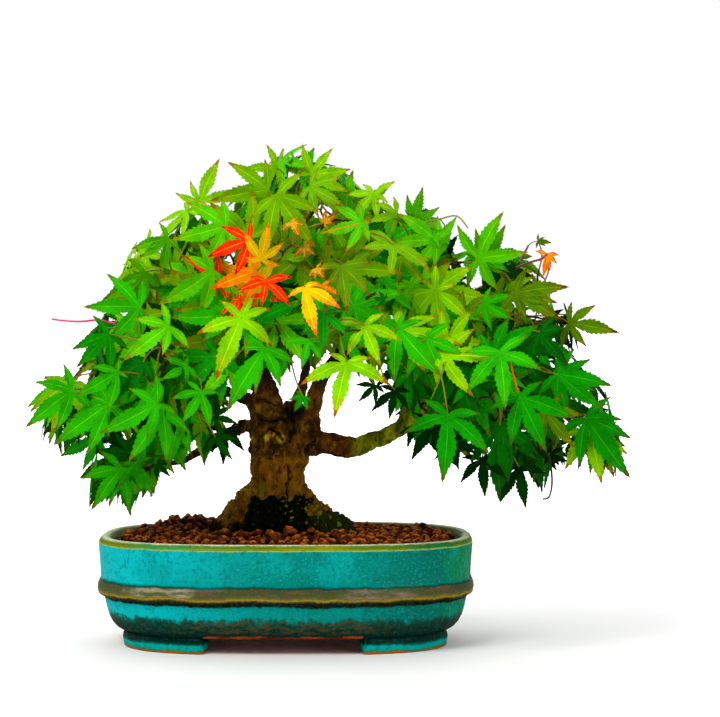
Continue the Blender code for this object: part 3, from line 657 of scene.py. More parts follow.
boughs = {
    "bough_right": (4.7, 2.4, ((2, 0, 69), (12.7, 0, 70), (20.8, 0, 68),
                               (29.7, 0, 70.2), (40.3, -0.5, 75), (52, -1.5, 82))),
    "bough_right_end": (2.2, 1.5, ((51.4, -1.4, 81.6), (59, 0, 83), (68, 0, 82))),
    "bough_right_front": (2, 1.4, ((47.6, -1.1, 79.3), (51, -14, 83.5), (59.5, -25, 86))),
    "bough_right_back": (2, 1.4, ((47.6, -1.1, 79.3), (50, 13, 84), (55, 27, 91))),
    "bough_right_rising": (2.1, 1.4, ((39.5, -0.5, 74.4), (47, 1, 88), (64, 1, 104))),
    "bough_upper_right": (3.3, 1.6, ((8, 0.6, 78.4), (10.1, 0.6, 86), (12.8, 0.6, 93),
                                     (21, 0.5, 104), (32, 0.5, 117))),
    "bough_left": (2.1, 1.2, ((-7, 0.5, 75.6), (-15.5, 0, 75.7), (-23, -0.5, 71.4),
                              (-34, -1.5, 64.9))),
    "bough_left_middle": (2.1, 1.3, ((-6.6, 1.4, 82.5), (-22, 4, 88), (-39, 3, 91))),
    "bough_left_front": (1.9, 1.3, ((-7.8, 1.8, 89.5), (-17, -14, 97), (-27, -31, 102))),
    "bough_left_back": (2, 1.3, ((-7, 1.5, 87), (-18, 18, 93), (-29, 33, 98))),
    "bough_back": (2.3, 1.4, ((-5.5, 0.8, 77.5), (3, 12, 84), (6, 28, 94),
                              (5, 54, 105))),
    "bough_front": (1.9, 1.3, ((-8.8, 2.6, 98), (-4, -26, 103.5), (6, -58, 108))),
    "bough_upper_left": (1.7, 1.2, ((-9, 3, 103), (-20, 0, 113), (-30, -3, 121))),
    "bough_upper_front": (1.5, 1.1, ((-8.4, 3.4, 113), (-5, -14, 123), (-1, -30, 131))),
    "bough_upper_back": (1.5, 1.1, ((-7.8, 3.6, 118), (0, 18, 125), (6, 30, 131))),
}
bark = {"scar": (-4.6, -9, 73.6), "hollow": (2.4, -4, 82), "hollowDepth": 5,
    # cracks of the old wood, as x and z along each, with how wide and deep they are
    "cracks": ((0.4, 0.7, (-12.8, 65.8), (-9, 65.2), (-5.2, 64.9), (-3, 64.2)),
               (0.6, 1.2, (-10.8, 80.4), (-8.4, 78.2), (-4.6, 77.4), (-1.4, 78.6), (1.4, 76.4)),
               (0.7, 1.4, (0.2, 82), (2.2, 78.4), (2.6, 74.2), (1.4, 70.8)),
               (0.5, 1.7, (-5.8, 75.4), (-3.6, 73.9), (-1, 71.6)),
               (0.45, 1.1, (0.7, 62.4), (1.5, 58.8), (0.4, 54.6), (0.8, 50.6)),
               (0.4, 0.9, (4.4, 62.8), (2.2, 60.2)),
               (0.5, 0.9, (6.6, 67.4), (9.4, 70.4), (11.6, 72.4)),
               (0.4, 0.7, (5.6, 65.4), (8.6, 68.2), (10.4, 69)),
               (0.45, 0.8, (-10.4, 74.4), (-8.6, 72.2), (-10, 68.6)),
               (0.5, 0.9, (-8.6, 85.8), (-5.6, 84.2), (-2, 83.4)),
               (0.4, 0.6, (4.8, 74.6), (4.2, 70.6), (5.2, 66.6)),
               (0.4, 0.6, (7.6, 77.8), (6.6, 73.2), (7.8, 70)),
               (0.4, 0.6, (-12.6, 53.4), (-9, 50.6))),
    "web": ((1.6, 1.2, 78.6, 3.6), (4.6, 1.6, 79.8, 3.2), (0.4, 2.6, 80.2, 2.8), (3.4, 3, 82.2, 2.6))}


def curve(before, start, end, after, t):
    return 0.5 * (2 * start + (end - before) * t
                  + (2 * before - 5 * start + 4 * end - after) * t ** 2
                  + (3 * start - before - 3 * end + after) * t ** 3)


def between(table, height):
    last = len(table) - 1
    low = max(i for i in range(last) if table[i][0] <= height)
    rows = [table[min(max(low + step, 0), last)] for step in (-1, 0, 1, 2)]
    t = (height - rows[1][0]) / (rows[2][0] - rows[1][0])
    return [curve(*places, t) for places in zip(*(row[1:] for row in rows))]


def flare(angle, height):
    drop = (trunk["flareTop"] - height) / (trunk["flareTop"] - trunk["ground"])
    if drop <= 0:
        return 0
    out = 0
    for direction, reach, halfAngle, fullness in trunk["roots"]:
        turn = (math.degrees(angle) - direction + 180) % 360 - 180
        rise = math.sin(drop * math.pi / 2) ** (fullness * 1.6)
        out = max(out, reach * rise * math.exp(-((turn / halfAngle) ** 2)))
    return out


def smoothPath(points, steps):
    path = []
    for i in range(len(points) - 1):
        before = points[max(i - 1, 0)]
        start, end = points[i], points[i + 1]
        after = points[min(i + 2, len(points) - 1)]
        for step in range(steps):
            path.append(curve(before, start, end, after, step / steps))
    path.append(points[-1].copy())
    return path


def tube(points, halfWidths, sides, steps):
    path = smoothPath(points, steps)
    side, rings = None, []
    for i, centre in enumerate(path):
        along = (path[min(i + 1, len(path) - 1)] - path[max(i - 1, 0)]).normalized()
        if side is None:
            side = along.orthogonal().normalized()
        side = (side - along * side.dot(along)).normalized()
        up = along.cross(side)
        place = i / steps
        low = min(int(place), len(halfWidths) - 2)
        halfWidth = halfWidths[low] + (halfWidths[low + 1] - halfWidths[low]) * (place - low)
        rings.append([centre + (side * math.cos(math.tau * k / sides) + up * math.sin(math.tau * k
            / sides)) * halfWidth for k in range(sides)])
    return rings


def eased(value, low, high):
    share = clamp((value - low) / (high - low))
    return share * share * (3 - 2 * share)


def mossHollow(point):
    sway = noise.noise(point * 0.3 + Vector((3, 0, 0)))
    point = point + Vector((3.4 * sway, 0, 2 * noise.noise(point * 0.4)))
    # 1 in the dark hollow between the roots at the front, 0 outside
    if point.y > -1:
        return 0
    edge = 1.4 * noise.noise(point * 0.35) + 0.6 * noise.noise(point * 0.9)
    left = -11.4 - 0.62 * max(0, 49 - point.z)
    return (eased(point.x + edge, left - 1.2, left + 1.6) * eased(point.x + edge, 10.5, 6)
        * eased(point.z + edge, 51.4, 49.6))


def barkRelief(point):
    # how far the bark stands out at a point of the limbs
    onTrunk = abs(point.x + 1) < 26 and point.z < 96 and abs(point.y) < 24
    thick = clamp((100 - point.z) / 24, 0.3) if onTrunk else 0.2
    if point.x > 12 and point.z > 60:
        thick = 0.42 if point.x < 42 else 0.22
    upright = Vector((point.x * 0.3, point.y * 0.3, point.z * 0.1))
    furrow = noise.noise(upright + Vector((3, 1, 5)))
    out = 0.6 * furrow - 0.9 * max(0, 1 - abs(noise.noise(upright * 1.6)) / 0.1)
    out += 0.6 * noise.noise(point * 0.3) + 0.5 * noise.noise(point * 0.7) + 0.3 * noise.noise(point * 1.5)
    # flakes: small steps where old bark lifts
    flake = noise.noise(Vector((point.x * 0.42, point.y * 0.42, point.z * 0.24)) + Vector((6, 3, 1)))
    out += 0.55 * eased(flake, -0.04, 0.04)
    # burls and folds of old wood
    out += 1.3 * max(0, noise.noise(point * 0.19 + Vector((9, 2, 4))) - 0.05)
    across = abs(noise.noise(Vector((point.x * 0.12, point.y * 0.12, point.z * 0.34))
        + Vector((1, 8, 3))))
    out -= 0.7 * max(0, 1 - across / 0.07)
    out *= thick
    out -= crackDepth(point)
    scar = Vector(bark["scar"])
    dx, dz = point.x - scar.x, point.z - scar.z
    if point.y < 0 and math.hypot(dx, dz) < 9:
        # a healed wound: two lips over a slanting crack, and a fold above them
        out += 1.5 * math.exp(-((dz + 0.9) / 1.1) ** 2 - (dx / 4) ** 2)
        out += 0.9 * math.exp(-((dz - 4) / 1.2) ** 2 - ((dx - 1) / 4.5) ** 2)
    if point.y < 2:
        # the swelling over the crease, the knob at the left of the fork and the nub on the bough
        out += 0.5 * math.exp(-((point.z - 67.2) / 1.6) ** 2) * eased(point.x, 4, -2)
        for x, z, height, wide in ((-12, 82.4, 1.3, 1.6), (5.6, 75, 0.7, 1.8), (27.2, 74.6, 1.5, 0.9)):
            out += height * math.exp(-((point.x - x) ** 2 + (point.z - z) ** 2) / wide ** 2)
    return out


def crackDepth(point):
    # how deep the named cracks are at a point of the front
    if point.y > 3 or abs(point.x) > 24:
        return 0
    wander = 0.7 * noise.noise(Vector((point.x, 0, point.z)) * 0.6)
    spot = Vector((point.x + wander, point.z - 1.6 * wander))
    broken = 0.8 + 0.8 * noise.noise(Vector((point.x, 4, point.z)) * 0.45)
    deepest = 0
    for wide, deep, *path in bark["cracks"]:
        for start, end in zip(path, path[1:]):
            start, run = Vector(start), Vector(end) - Vector(start)
            share = clamp((spot - start).dot(run) / run.length_squared)
            gap = (spot - start - run * share).length
            if gap < 2.5 * wide:
                deepest = max(deepest, deep * math.exp(-((gap / wide) ** 2)))
    return deepest * clamp(broken, 0.12)


# Colours of the bark by its grain
barkTones = {
    "lower": ((0.26, (60, 32, 2)), (0.40, (130, 76, 3)), (0.54, (172, 112, 8)), (0.72, (206, 152, 22))),
    "upper": ((0.3, (24, 12, 1)), (0.44, (76, 42, 2)), (0.58, (124, 78, 6)), (0.75, (176, 124, 14))),
    "dark": ((0.35, (9, 6, 1)), (0.6, (36, 23, 4)), (0.75, (78, 56, 8))),
    "red": ((0.33, (38, 12, 0)), (0.52, (92, 44, 1)), (0.7, (136, 84, 4))),
    "olive": ((0.33, (36, 40, 0)), (0.5, (112, 126, 1)), (0.68, (180, 194, 8))),
    # near black: moss, with the painted shade of the hollow between the roots
    "mossAndShade": ((0.42, (3, 4, 1)), (0.62, (16, 20, 2)), (0.76, (80, 86, 6)))}
# Dark stretches, then old wounds and pale golden patches, partly the bark's own pale colour and partly
# painted highlights on the wound's lips, the knob, the ridges and the tops of the roots: place, radius,
# colour
barkShades = (((-5, -9, 68.4), 5.6), ((-9, -6, 77.6), 3.6), ((1.8, -7, 73), 3.4),
    ((-10.4, -4, 86.4), 4.2), ((1.8, -8, 77.4), 3.2), ((0.8, -8, 70.6), 2.8),
    ((4.2, -8, 73.2), 2.4), ((-11.4, -6, 73.6), 2.2), ((12.4, -4, 66), 2.6),
    ((-20.5, -8, 45.6), 4.4), ((-16, -9, 47), 3.6))
barkPaleAndHighlightPatches = (((-7.6, -9, 72.6), 2.3, (255, 212, 40)), ((-4.8, -9.5, 74), 2, (236, 160, 50)),
    ((-1.2, -9, 71.8), 2.1, (255, 206, 34)), ((-6.2, -9, 75.4), 1.5, (226, 170, 30)),
    ((-24, -2, 46.8), 2.4, (190, 150, 30)), ((11, -6, 48.4), 2.8, (160, 110, 16)),
    ((-2, -9, 76.4), 2.4, (186, 140, 24)), ((-11, -4, 82.6), 2.6, (180, 118, 26)),
    ((-4.4, -6, 81.5), 2.6, (168, 118, 20)), ((-12.2, -4, 70.5), 2, (170, 130, 30)),
    ((-9.6, -8, 53), 4, (140, 122, 10)), ((-2, -9, 54.5), 4, (140, 92, 12)),
    ((5, -8, 68), 4.4, (124, 76, 6)), ((6.4, -6, 76), 2.4, (146, 104, 16)),
    ((-19, -3, 52.5), 3.4, (168, 128, 16)), ((-14.4, -4, 53.6), 2.4, (206, 164, 30)),
    ((16, -3, 47), 4, (176, 112, 20)))


def barkFinish():
    made, tree = shaderTree("mapleBark")
    where = potSpace(tree)
    x, y, z = parts(where)
    rough = grain(where, 0.22, 6, (1, 1, 0.35), 0.65)
    fine = grain(where, 0.62, 6, (1, 1, 0.6), 0.75)
    wavy = plus(z, times(minus(rough, 0.5), 7))
    ramps = {name: ramp(fine if name == "mossAndShade" else rough, stops) for name, stops in barkTones.items()}
    # golden column low down, darker old bark above it
    tone = mixed(spread(z, 64.6, 66), ramps["lower"], ramps["upper"])
    for spot, radius in barkShades:
        share = times(near(where, spot, radius, 0.7), spread(fine, 0.62, 0.44, 0.2, 0.9))
        tone = over(tone, share, (26, 13, 1))
    # limbs: near black above, red brown along the right bough, then olive
    tone = mixed(spread(wavy, 86, 94), tone, ramps["dark"])
    tone = mixed(times(spread(x, 9, 15), spread(wavy, 81, 76)), tone, ramps["red"])
    tone = mixed(spread(x, 21, 28), tone, ramps["olive"])
    tone = mixed(times(spread(x, -12, -16), spread(z, 60, 66)), tone, ramps["dark"])
    # pale bark and painted highlights
    for spot, radius, shade in barkPaleAndHighlightPatches:
        share = times(near(where, spot, radius * 1.25, 0.7), spread(fine, 0.38, 0.54))
        tone = over(tone, share, shade)
    # dark furrows, painted golden highlights (glints), cracks darkened as painted shade, and the hollow of
    # the fork painted near black as its shade
    crackDipAndShade = spread(kept(tree, "crack"), 0.15, 0.7, 0, 0.85)
    tone = over(tone, spread(fine, 0.47, 0.38, 0, 0.82), (26, 13, 1))
    glint = times(spread(fine, 0.54, 0.64, 0, 0.6), spread(z, 96, 80, 0.3, 1))
    tone = over(tone, glint, (190, 134, 22))
    tone = over(tone, crackDipAndShade, (14, 7, 1))
    tone = over(tone, near(where, bark["hollow"], 7, 0.6), (8, 5, 1))
    # near-black moss tone: moss with painted shade in the hollow between the roots, and the same dark tone on
    # the foot all round
    sunk = spread(kept(tree, "hollow"), 0.15, 0.6)
    tone = mixed(larger(sunk, spread(wavy, 43, 39.5)), tone, ramps["mossAndShade"])
    height = minus(plus(fine, times(rough, 1.6)), times(crackDipAndShade, 0.8))
    return finished(made, tone, 0.85, 0.1, height, 1, 0.002)


def makeLimbs():
    ground, top = trunk["ground"], trunk["top"]
    shells, rings = [], []
    count = int((top - ground) / trunk["step"])
    for k in range(count + 1):
        height = ground + (top - ground) * k / count
        x, y, halfWidth = between(trunk["axis"], height)
        ring = []
        for i in range(trunk["around"]):
            angle = math.tau * i / trunk["around"]
            out = Vector((math.cos(angle), math.sin(angle), 0))
            ring.append(Vector((x, y, height)) + out * (halfWidth + flare(angle, height)))
        rings.append(ring)
    shells.append(loft(rings))
    arm = [Vector(row[:3]) for row in trunk["fork"]]
    shells.append(loft(tube(arm, [row[3] for row in trunk["fork"]], 28, 6)))
    for base, tip, places in boughs.values():
        points = [Vector(place) for place in places]
        shares = [i / (len(points) - 1) for i in range(len(points))]
        halfWidths = [tip + (base - tip) * (1 - share) ** 1.3 for share in shares]
        rings = tube(points, halfWidths, 14, 9)
        for ring in rings[3:]:
            centre = sum(ring, Vector()) / len(ring)
            for i, point in enumerate(ring):
                ring[i] = centre + (point - centre) * (1 + 0.16 * noise.noise(point * 0.3))
        shells.append(loft(rings))
    # wood that fills the crotch of the fork
    for x, y, z, radius in bark["web"]:
        ball, middle = [], Vector((x, y, z))
        for k in range(1, 10):
            wide, low = math.sin(math.pi * k / 10), -math.cos(math.pi * k / 10)
            turns = [math.tau * i / 16 for i in range(16)]
            ball.append([middle + Vector((math.cos(turn) * wide, math.sin(turn) * wide, low)) * radius
                         for turn in turns])
        shells.append(loft(ball))
    points, faces = [], []
    for shape, sides in shells:
        start = len(points)
        points += shape
        faces += [tuple(start + i for i in side) for side in sides]
    made = newPiece("trunkAndBoughs", points, faces, [barkFinish()])
    pointOut(made)
    skin = made.modifiers.new("skin", "REMESH")
    skin.mode, skin.voxel_size = "VOXEL", trunk["voxel"] * mm
    bake(made)
    shell = bmesh.new()
    shell.from_mesh(made.data)
    bmesh.ops.smooth_vert(shell, verts=shell.verts, factor=0.4,
                          use_axis_x=True, use_axis_y=True, use_axis_z=True)
    shell.normal_update()
    cracks, hollows = [], []
    for vert in shell.verts:
        place = (vert.co - potMiddle) / mm
        sunk = mossHollow(place)
        cracks.append(crackDepth(place))
        hollows.append(sunk)
        if place.z < ground + 0.4:
            continue
        shift = vert.normal * barkRelief(place)
        if sunk > 0:
            shift = shift * (1 - 0.6 * sunk) + Vector((0, 1, 0)) * sunk * bark["hollowDepth"]
        vert.co += shift * mm
    shell.to_mesh(made.data)
    shell.free()
    hold(made.data, "crack", "FLOAT", cracks)
    hold(made.data, "hollow", "FLOAT", hollows)
    made.data.shade_smooth()
    finishPiece(made, ["trunk", *boughs])
    return made


# Moss: small tufts and pale flecks set on the trunk's foot; the black tufts in the hollow between the roots
# are painted shade

tufts = {"shapes": 4, "density": 3000000, "turnSeed": 8}
mossAndShade = {"black": {"spacing": 1, "size": (0.5, 1.2), "seed": 4, "colour": (10, 15, 2), "zone": "hollow"},
    "green": {"spacing": 2.4, "size": (0.4, 0.95), "seed": 9, "colour": (42, 56, 3), "zone": "hollow"},
    "fleck": {"spacing": 1.9, "size": (0.5, 1.1), "seed": 15, "colour": (150, 146, 28), "zone": "fleck"},
    "lump": {"spacing": 1.15, "size": (0.6, 1.5), "seed": 6, "colour": (34, 50, 6), "zone": "right"},
    "olive": {"spacing": 2, "size": (0.5, 1.1), "seed": 12, "colour": (126, 120, 14), "zone": "above"},
    "rust": {"spacing": 2.4, "size": (0.4, 0.9), "seed": 18, "colour": (150, 84, 10), "zone": "above"},
    "skirt": {"spacing": 1.2, "size": (0.5, 1.1), "seed": 22, "colour": (44, 34, 4), "zone": "skirt"}}


def mossyFace(point, zone):
    if point.z < 38.6:
        return False
    ragged = 2.2 * noise.noise(point * 0.3 + Vector((5, 0, 1)))
    if zone == "hollow":
        return mossHollow(point) > 0.35
    if zone == "fleck":
        # pale flecks gather right of the middle, high in the hollow
        return mossHollow(point) > 0.35 and 0.7 * (point.x - 3.4) ** 2 + (point.z - 48.2) ** 2 < 20
    if zone == "right":
        return point.x > 8 and point.z < 44.4 + 0.7 * ragged
    if zone == "above":
        return point.x > 7 and point.z < 50 - 0.4 * (point.x - 8) + ragged
    return point.z < 41.4 + 1.6 * ragged and mossHollow(point) < 0.5


def makeMoss(limbs):
    shapes = bpy.data.collections.new("mossShapes")
    for k in range(tufts["shapes"]):
        ball = bmesh.new()
        bmesh.ops.create_icosphere(ball, subdivisions=1, radius=mm)
        for vert in ball.verts:
            vert.co *= 1 + 0.45 * noise.noise(vert.co / mm * 1.7 + Vector((k * 9, 0, 0)))
        addShape(shapes, "tuft", ball)
    tree = scatterTree("mossTree", tufts["density"], tufts["turnSeed"])
    skin = limbs.data
    for label, values in mossAndShade.items():
        chosen = [face for face in skin.polygons if mossyFace((face.center - potMiddle) / mm, values["zone"])]
        used = sorted({v for face in chosen for v in face.vertices})
        index = {v: k for k, v in enumerate(used)}
        mesh = meshOf(label + "Moss", [skin.vertices[v].co for v in used], [],
            [[index[v] for v in face.vertices] for face in chosen])
        made = linked(label + "Moss", mesh)
        finish = plainFinish(label + "MossTuft", values["colour"], 0.95, 0.05, 2, 0.6)
        scatter(made, tree, shapes, values, finish)
        finishPiece(made)


# Twigs and stalks, drawn as paths and swept by one tree of nodes

def tubeTree():
    tree, given, result = growTree("twigTree", (("Sides", "Int"), ("Finish", "Material")))
    lines = addNode(tree, "GeometryNodeMeshToCurve", {"Mesh": given.outputs["Geometry"]})
    girth = addNode(tree, "GeometryNodeInputNamedAttribute", {"Name": "girth"}, data_type="FLOAT")
    ring = addNode(tree, "GeometryNodeCurvePrimitiveCircle",
                   {"Resolution": given.outputs["Sides"], "Radius": mm})
    swept = addNode(tree, "GeometryNodeCurveToMesh",
                    {"Curve": lines.outputs[0], "Profile Curve": ring.outputs[0],
                     "Scale": girth.outputs[0], "Fill Caps": True})
    rounded = addNode(tree, "GeometryNodeSetShadeSmooth", {"Geometry": swept.outputs[0]})
    return endTree(tree, given, result, rounded.outputs[0])


def sweep(name, runs, tree, sides, finish):
    # runs: lists of (point, half width)
    points, edges, girths = [], [], []
    for run in runs:
        start = len(points)
        for point, girth in run:
            points.append(inWorld(point))
            girths.append(girth)
        edges += [(start + k, start + k + 1) for k in range(len(run) - 1)]
    mesh = meshOf(name, points, edges)
    hold(mesh, "girth", "FLOAT", girths)
    made = linked(name, mesh)
    runTree(made, tree, {"Sides": sides, "Finish": finish})
    finishPiece(made)
    return made


def plainFinish(name, colour, roughness=0.5, specular=0.4, bumpScale=0.6, bumpDepth=0.25):
    made, tree = shaderTree(name)
    bumps = grain(potSpace(tree), bumpScale)
    return finished(made, (*paint(*colour), 1), roughness, specular, bumps, bumpDepth, 0.0006)


def spiral(count, top=1, fan=2):
    # directions spread evenly round, from the top down
    for i in range(count):
        height = top - fan * (i + 0.5) / count
        across = math.sqrt(1 - height * height)
        turn = i * goldenAngle
        yield Vector((across * math.cos(turn), across * math.sin(turn), height))


# Foliage masses: middle, half sizes, the limb that carries it
masses = {
    "foliage_apex": ((2, 0, 149), (38, 42, 29), "trunk"),
    "foliage_upper_left": ((-31, -4, 127), (32, 52, 30), "bough_upper_left"),
    "foliage_upper_right": ((45, 0, 131), (38, 52, 30), "bough_upper_right"),
    "foliage_upper_front": ((2, -52, 134), (44, 36, 29), "bough_upper_front"),
    "foliage_upper_back": ((8, 53, 134), (44, 36, 29), "bough_upper_back"),
    "foliage_left": ((-60, 2, 85), (32, 54, 28), "bough_left_middle"),
    "foliage_lower_left": ((-55, -2, 62), (28, 40, 19), "bough_left"),
    "foliage_front_left": ((-40, -52, 101), (38, 38, 32), "bough_left_front"),
    "foliage_front": ((17, -71, 109), (42, 29, 31), "bough_front"),
    "foliage_front_right": ((65, -46, 91), (37, 39, 38), "bough_right_front"),
    "foliage_right_low": ((93, 0, 77), (30, 54, 30), "bough_right_end"),
    "foliage_right": ((79, 0, 111), (32, 54, 31), "bough_right_rising"),
    "foliage_back_right": ((60, 51, 94), (38, 38, 36), "bough_right_back"),
    "foliage_back": ((6, 73, 112), (44, 29, 30), "bough_back"),
    "foliage_back_left": ((-44, 51, 98), (38, 38, 33), "bough_left_back"),
}
masses = {name: (Vector(middle), Vector(halfSizes), carrier)
    for name, (middle, halfSizes, carrier) in masses.items()}
growth = {"crownCore": (8, 0, 84), "inwardLimit": 6, "leafSpacing": 11,
    "innerSpacing": 15, "innerDepth": 0.64, "depths": (0.93, 0.86, 0.8, 0.9, 0.74),
    "slides": 5, "skin": 1.03, "gap": 0.3, "stemStart": (1.5, 3), "stemReach": 0.55,
    "twigs": 5, "twigTop": 0.92, "twigFan": 1.35, "twigReach": 0.55, "twigStep": 0.13,
    "stemGirth": (1.35, 0.95), "twigGirth": (0.95, 0.5), "fineGirth": (0.5, 0.34),
    "stalkGirth": (0.3, 0.24), "stalkLength": 11,
    "facesOut": 0.62, "facesUp": 0.42, "facesAhead": 0.62, "turn": 0.8, "stray": 0.16,
    "apart": 8, "innerApart": 6.5, "view": 62,
    "hangsOut": 0.6, "hangsDown": 0.8, "tipStray": 0.35, "length": (16.5, 22)}

# The crown as it stands against the sky, and the gaps where the sky shows through, in pixels
crownOutline = ((304, 140), (268, 142), (262, 147), (264, 158), (246, 163),
    (246, 173), (262, 176), (240, 182), (226, 191), (214, 197), (210, 184), (218, 156),
    (200, 180), (184, 178), (180, 206),
    (142, 228), (130, 250), (113, 287), (85, 303), (96, 325), (80, 341), (84, 353), (78, 364),
    (31, 380), (22, 428), (30, 440), (50, 450), (78, 472), (90, 512), (110, 508),
    (130, 520), (145, 500), (157, 498), (176, 478), (206, 470), (236, 466), (250, 428),
    (280, 405), (290, 385), (300, 372), (322, 395), (330, 430), (352, 420), (360, 404),
    (372, 414), (392, 422), (404, 440), (412, 466), (424, 448), (440, 488), (462, 462),
    (474, 486), (488, 502), (496, 480), (502, 506), (514, 496), (527, 512), (536, 486),
    (545, 500), (562, 466), (580, 472), (598, 490), (610, 480), (634, 482), (634, 438),
    (612, 405), (612, 384), (584, 366), (600, 356), (590, 340), (624, 336), (598, 300),
    (572, 300), (553, 302), (570, 286), (548, 270), (528, 248), (502, 246), (508, 207),
    (494, 212), (480, 232), (458, 214), (428, 208), (424, 184), (408, 200), (402, 208),
    (386, 202), (390, 182), (364, 184), (352, 166), (330, 160))
skyGaps = (((326, 400), (330, 428), (345, 437), (372, 430), (396, 420), (386, 398), (366, 392), (350, 388)),
    ((321, 358), (333, 358), (333, 368), (321, 368)),
    ((282, 376), (298, 378), (306, 395), (296, 412), (284, 404)),
    ((269, 376), (276, 376), (276, 392), (269, 392)),
    ((240, 396), (252, 396), (252, 418), (232, 420)))
# small round holes: middle and reach in pixels
skyHoles = ((475, 281, 6), (162, 252, 3), (126, 311, 3), (537, 311, 6), (573, 424, 6), (228, 256, 4),
    (322, 211, 6), (493, 445, 5), (470, 432, 4), (461, 246, 4), (292, 176, 4), (585, 400, 4),
    (470, 468, 5), (498, 486, 4), (84, 377, 4))


def within(polygon, x, y):
    odd, j = False, len(polygon) - 1
    for i in range(len(polygon)):
        (ax, ay), (bx, by) = polygon[i], polygon[j]
        if (ay > y) != (by > y) and x < (bx - ax) * (y - ay) / (by - ay) + ax:
            odd = not odd
        j = i
    return odd


def openSky(points, joint):
    # whether any point would show outside the crown or in one of its gaps, or a lobe cross a hole
    for point in points:
        x, y = seenAt(point)
        if not within(crownOutline, x, y) or any(within(gap, x, y) for gap in skyGaps):
            return True
        for holeX, holeY, reach in skyHoles:
            jx, jy = seenAt(joint)
            if math.hypot(holeX - jx, holeY - jy) > 90:
                continue
            share = (holeX - jx) * (x - jx) + (holeY - jy) * (y - jy)
            share = clamp(share / max(1, (x - jx) ** 2 + (y - jy) ** 2))
            if math.hypot(jx + (x - jx) * share - holeX, jy + (y - jy) * share - holeY) < reach:
                return True
    return False


# Leaves. A lobe is widest short of half way, then draws out to a long point; teeth point forward.
leaf = {"lobes": ((0, 1), (45, 0.88), (-45, 0.88), (94, 0.56), (-94, 0.56), (136, 0.2), (-136, 0.2)),
    "width": 0.136, "sinus": 0.23, "fold": 0.34, "droop": 0.16, "rib": 0.011, "tooth": 0.021,
    "bow": 0.2, "marks": (0.34, 0.62, 0.84, 1), "smallMarks": (0.42, 0.8, 1),
    "shape": ((0.24, 0.62), (0.33, 0.88), (0.42, 1), (0.51, 0.98), (0.6, 0.86), (0.69, 0.66),
              (0.78, 0.44), (0.87, 0.24)),
    "variants": 7}


def leafOutline(tips, chance, width=1):
    # flat outline of a leaf with its joint at 0, 0: points, faces, what each face is, and fold;
    # the first tip is the middle lobe's; face kinds: 0 blade, 1 rib, 2 tip, 3 the part that turns first
    forward = math.atan2(tips[0][1], tips[0][0])
    tips = sorted(tips, key=lambda tip: math.atan2(tip[1], tip[0]))
    count = len(tips)
    angles = [math.atan2(tip[1], tip[0]) for tip in tips]
    points, faces, kinds, folds = [(0, 0)], [], [], [0]
    sinusAt = []
    for i in range(count):
        j = (i + 1) % count
        gap = (angles[j] - angles[i]) % math.tau
        shorter = min(math.hypot(*tips[i]), math.hypot(*tips[j]))
        middle = angles[i] + gap / 2
        reach = shorter * (0.05 if gap > 1.75 else leaf["sinus"] * (1 + 0.4 * (gap < 0.65)))
        sinusAt.append(len(points))
        points.append((math.cos(middle) * reach, math.sin(middle) * reach))
        folds.append(0)
    for i, (tx, ty) in enumerate(tips):
        length = math.hypot(tx, ty)
        ux, uy = tx / length, ty / length
        half = length * leaf["width"] * width * (1 if length > 6 else 1.25)
        rib = max(0.13, length * leaf["rib"])
        off = (angles[i] - forward + math.pi) % math.tau - math.pi
        bow = length * (leaf["bow"] * math.sin(off) if abs(off) > 0.2 else chance.uniform(-0.1, 0.1))
        big = length > 9
        steps = leaf["shape"] if big else leaf["shape"][::2]
        marks = leaf["marks"] if big else leaf["smallMarks"]
        sorts = (0, 0, 3, 2) if big else (0, 3, 2)

        def at(s, v, fold=0):
            v += bow * s * (1 - s)
            points.append((ux * s * length - uy * v, uy * s * length + ux * v))
            folds.append(fold)
            return len(points) - 1

        tip = at(1, 0, 0.2 * half)
        middles = []
        for s in marks[:-1]:
            fold = half * shapeAt(s)
            middles.append((at(s, -rib * (1.15 - s), fold), at(s, rib * (1.15 - s), fold)))
        for side in (-1, 1):
            sections, edge, mark = [], [sinusAt[i if side > 0 else i - 1]], 0
            for k, (s, w) in enumerate((*steps, (2, 0))):
                while mark < len(marks) - 1 and s > marks[mark]:
                    cut = at(marks[mark], side * half * shapeAt(marks[mark]) * 0.92)
                    edge.append(cut)
                    sections.append(edge)
                    edge, mark = [cut], mark + 1
                if k == len(steps):
                    break
                step = (steps[k + 1][0] if k + 1 < len(steps) else 0.96) - s
                jag = leaf["tooth"] * length * (0.25 + 0.75 * w)
                edge.append(at(s + step * 0.7, side * (half * shapeAt(s + step * 0.7) + jag)))
                edge.append(at(s + step * 0.86, side * half * shapeAt(s + step * 0.86) * 0.9))
            sections.append(edge + [tip])
            lower = 0
            for k, edge in enumerate(sections):
                upper = middles[k][(side + 1) // 2] if k < len(middles) else None
                loop = edge + ([lower] if upper is None else [upper, lower])
                faces.append(loop if side < 0 else loop[::-1])
                kinds.append(sorts[k])
                lower = upper
        last = None
        for a, b in middles:
            faces.append((0, a, b) if last is None else (last[0], a, b, last[1]))
            kinds.append(1)
            last = (a, b)
        faces.append((last[0], tip, last[1]))
        kinds.append(2)
    return points, faces, kinds, folds


def shapeAt(s):
    table = ((0, 0.1),) + leaf["shape"] + ((0.94, 0.12), (1, 0))
    for (a, wa), (b, wb) in zip(table, table[1:]):
        if a <= s <= b:
            return wa + (wb - wa) * (s - a) / (b - a)
    return 0


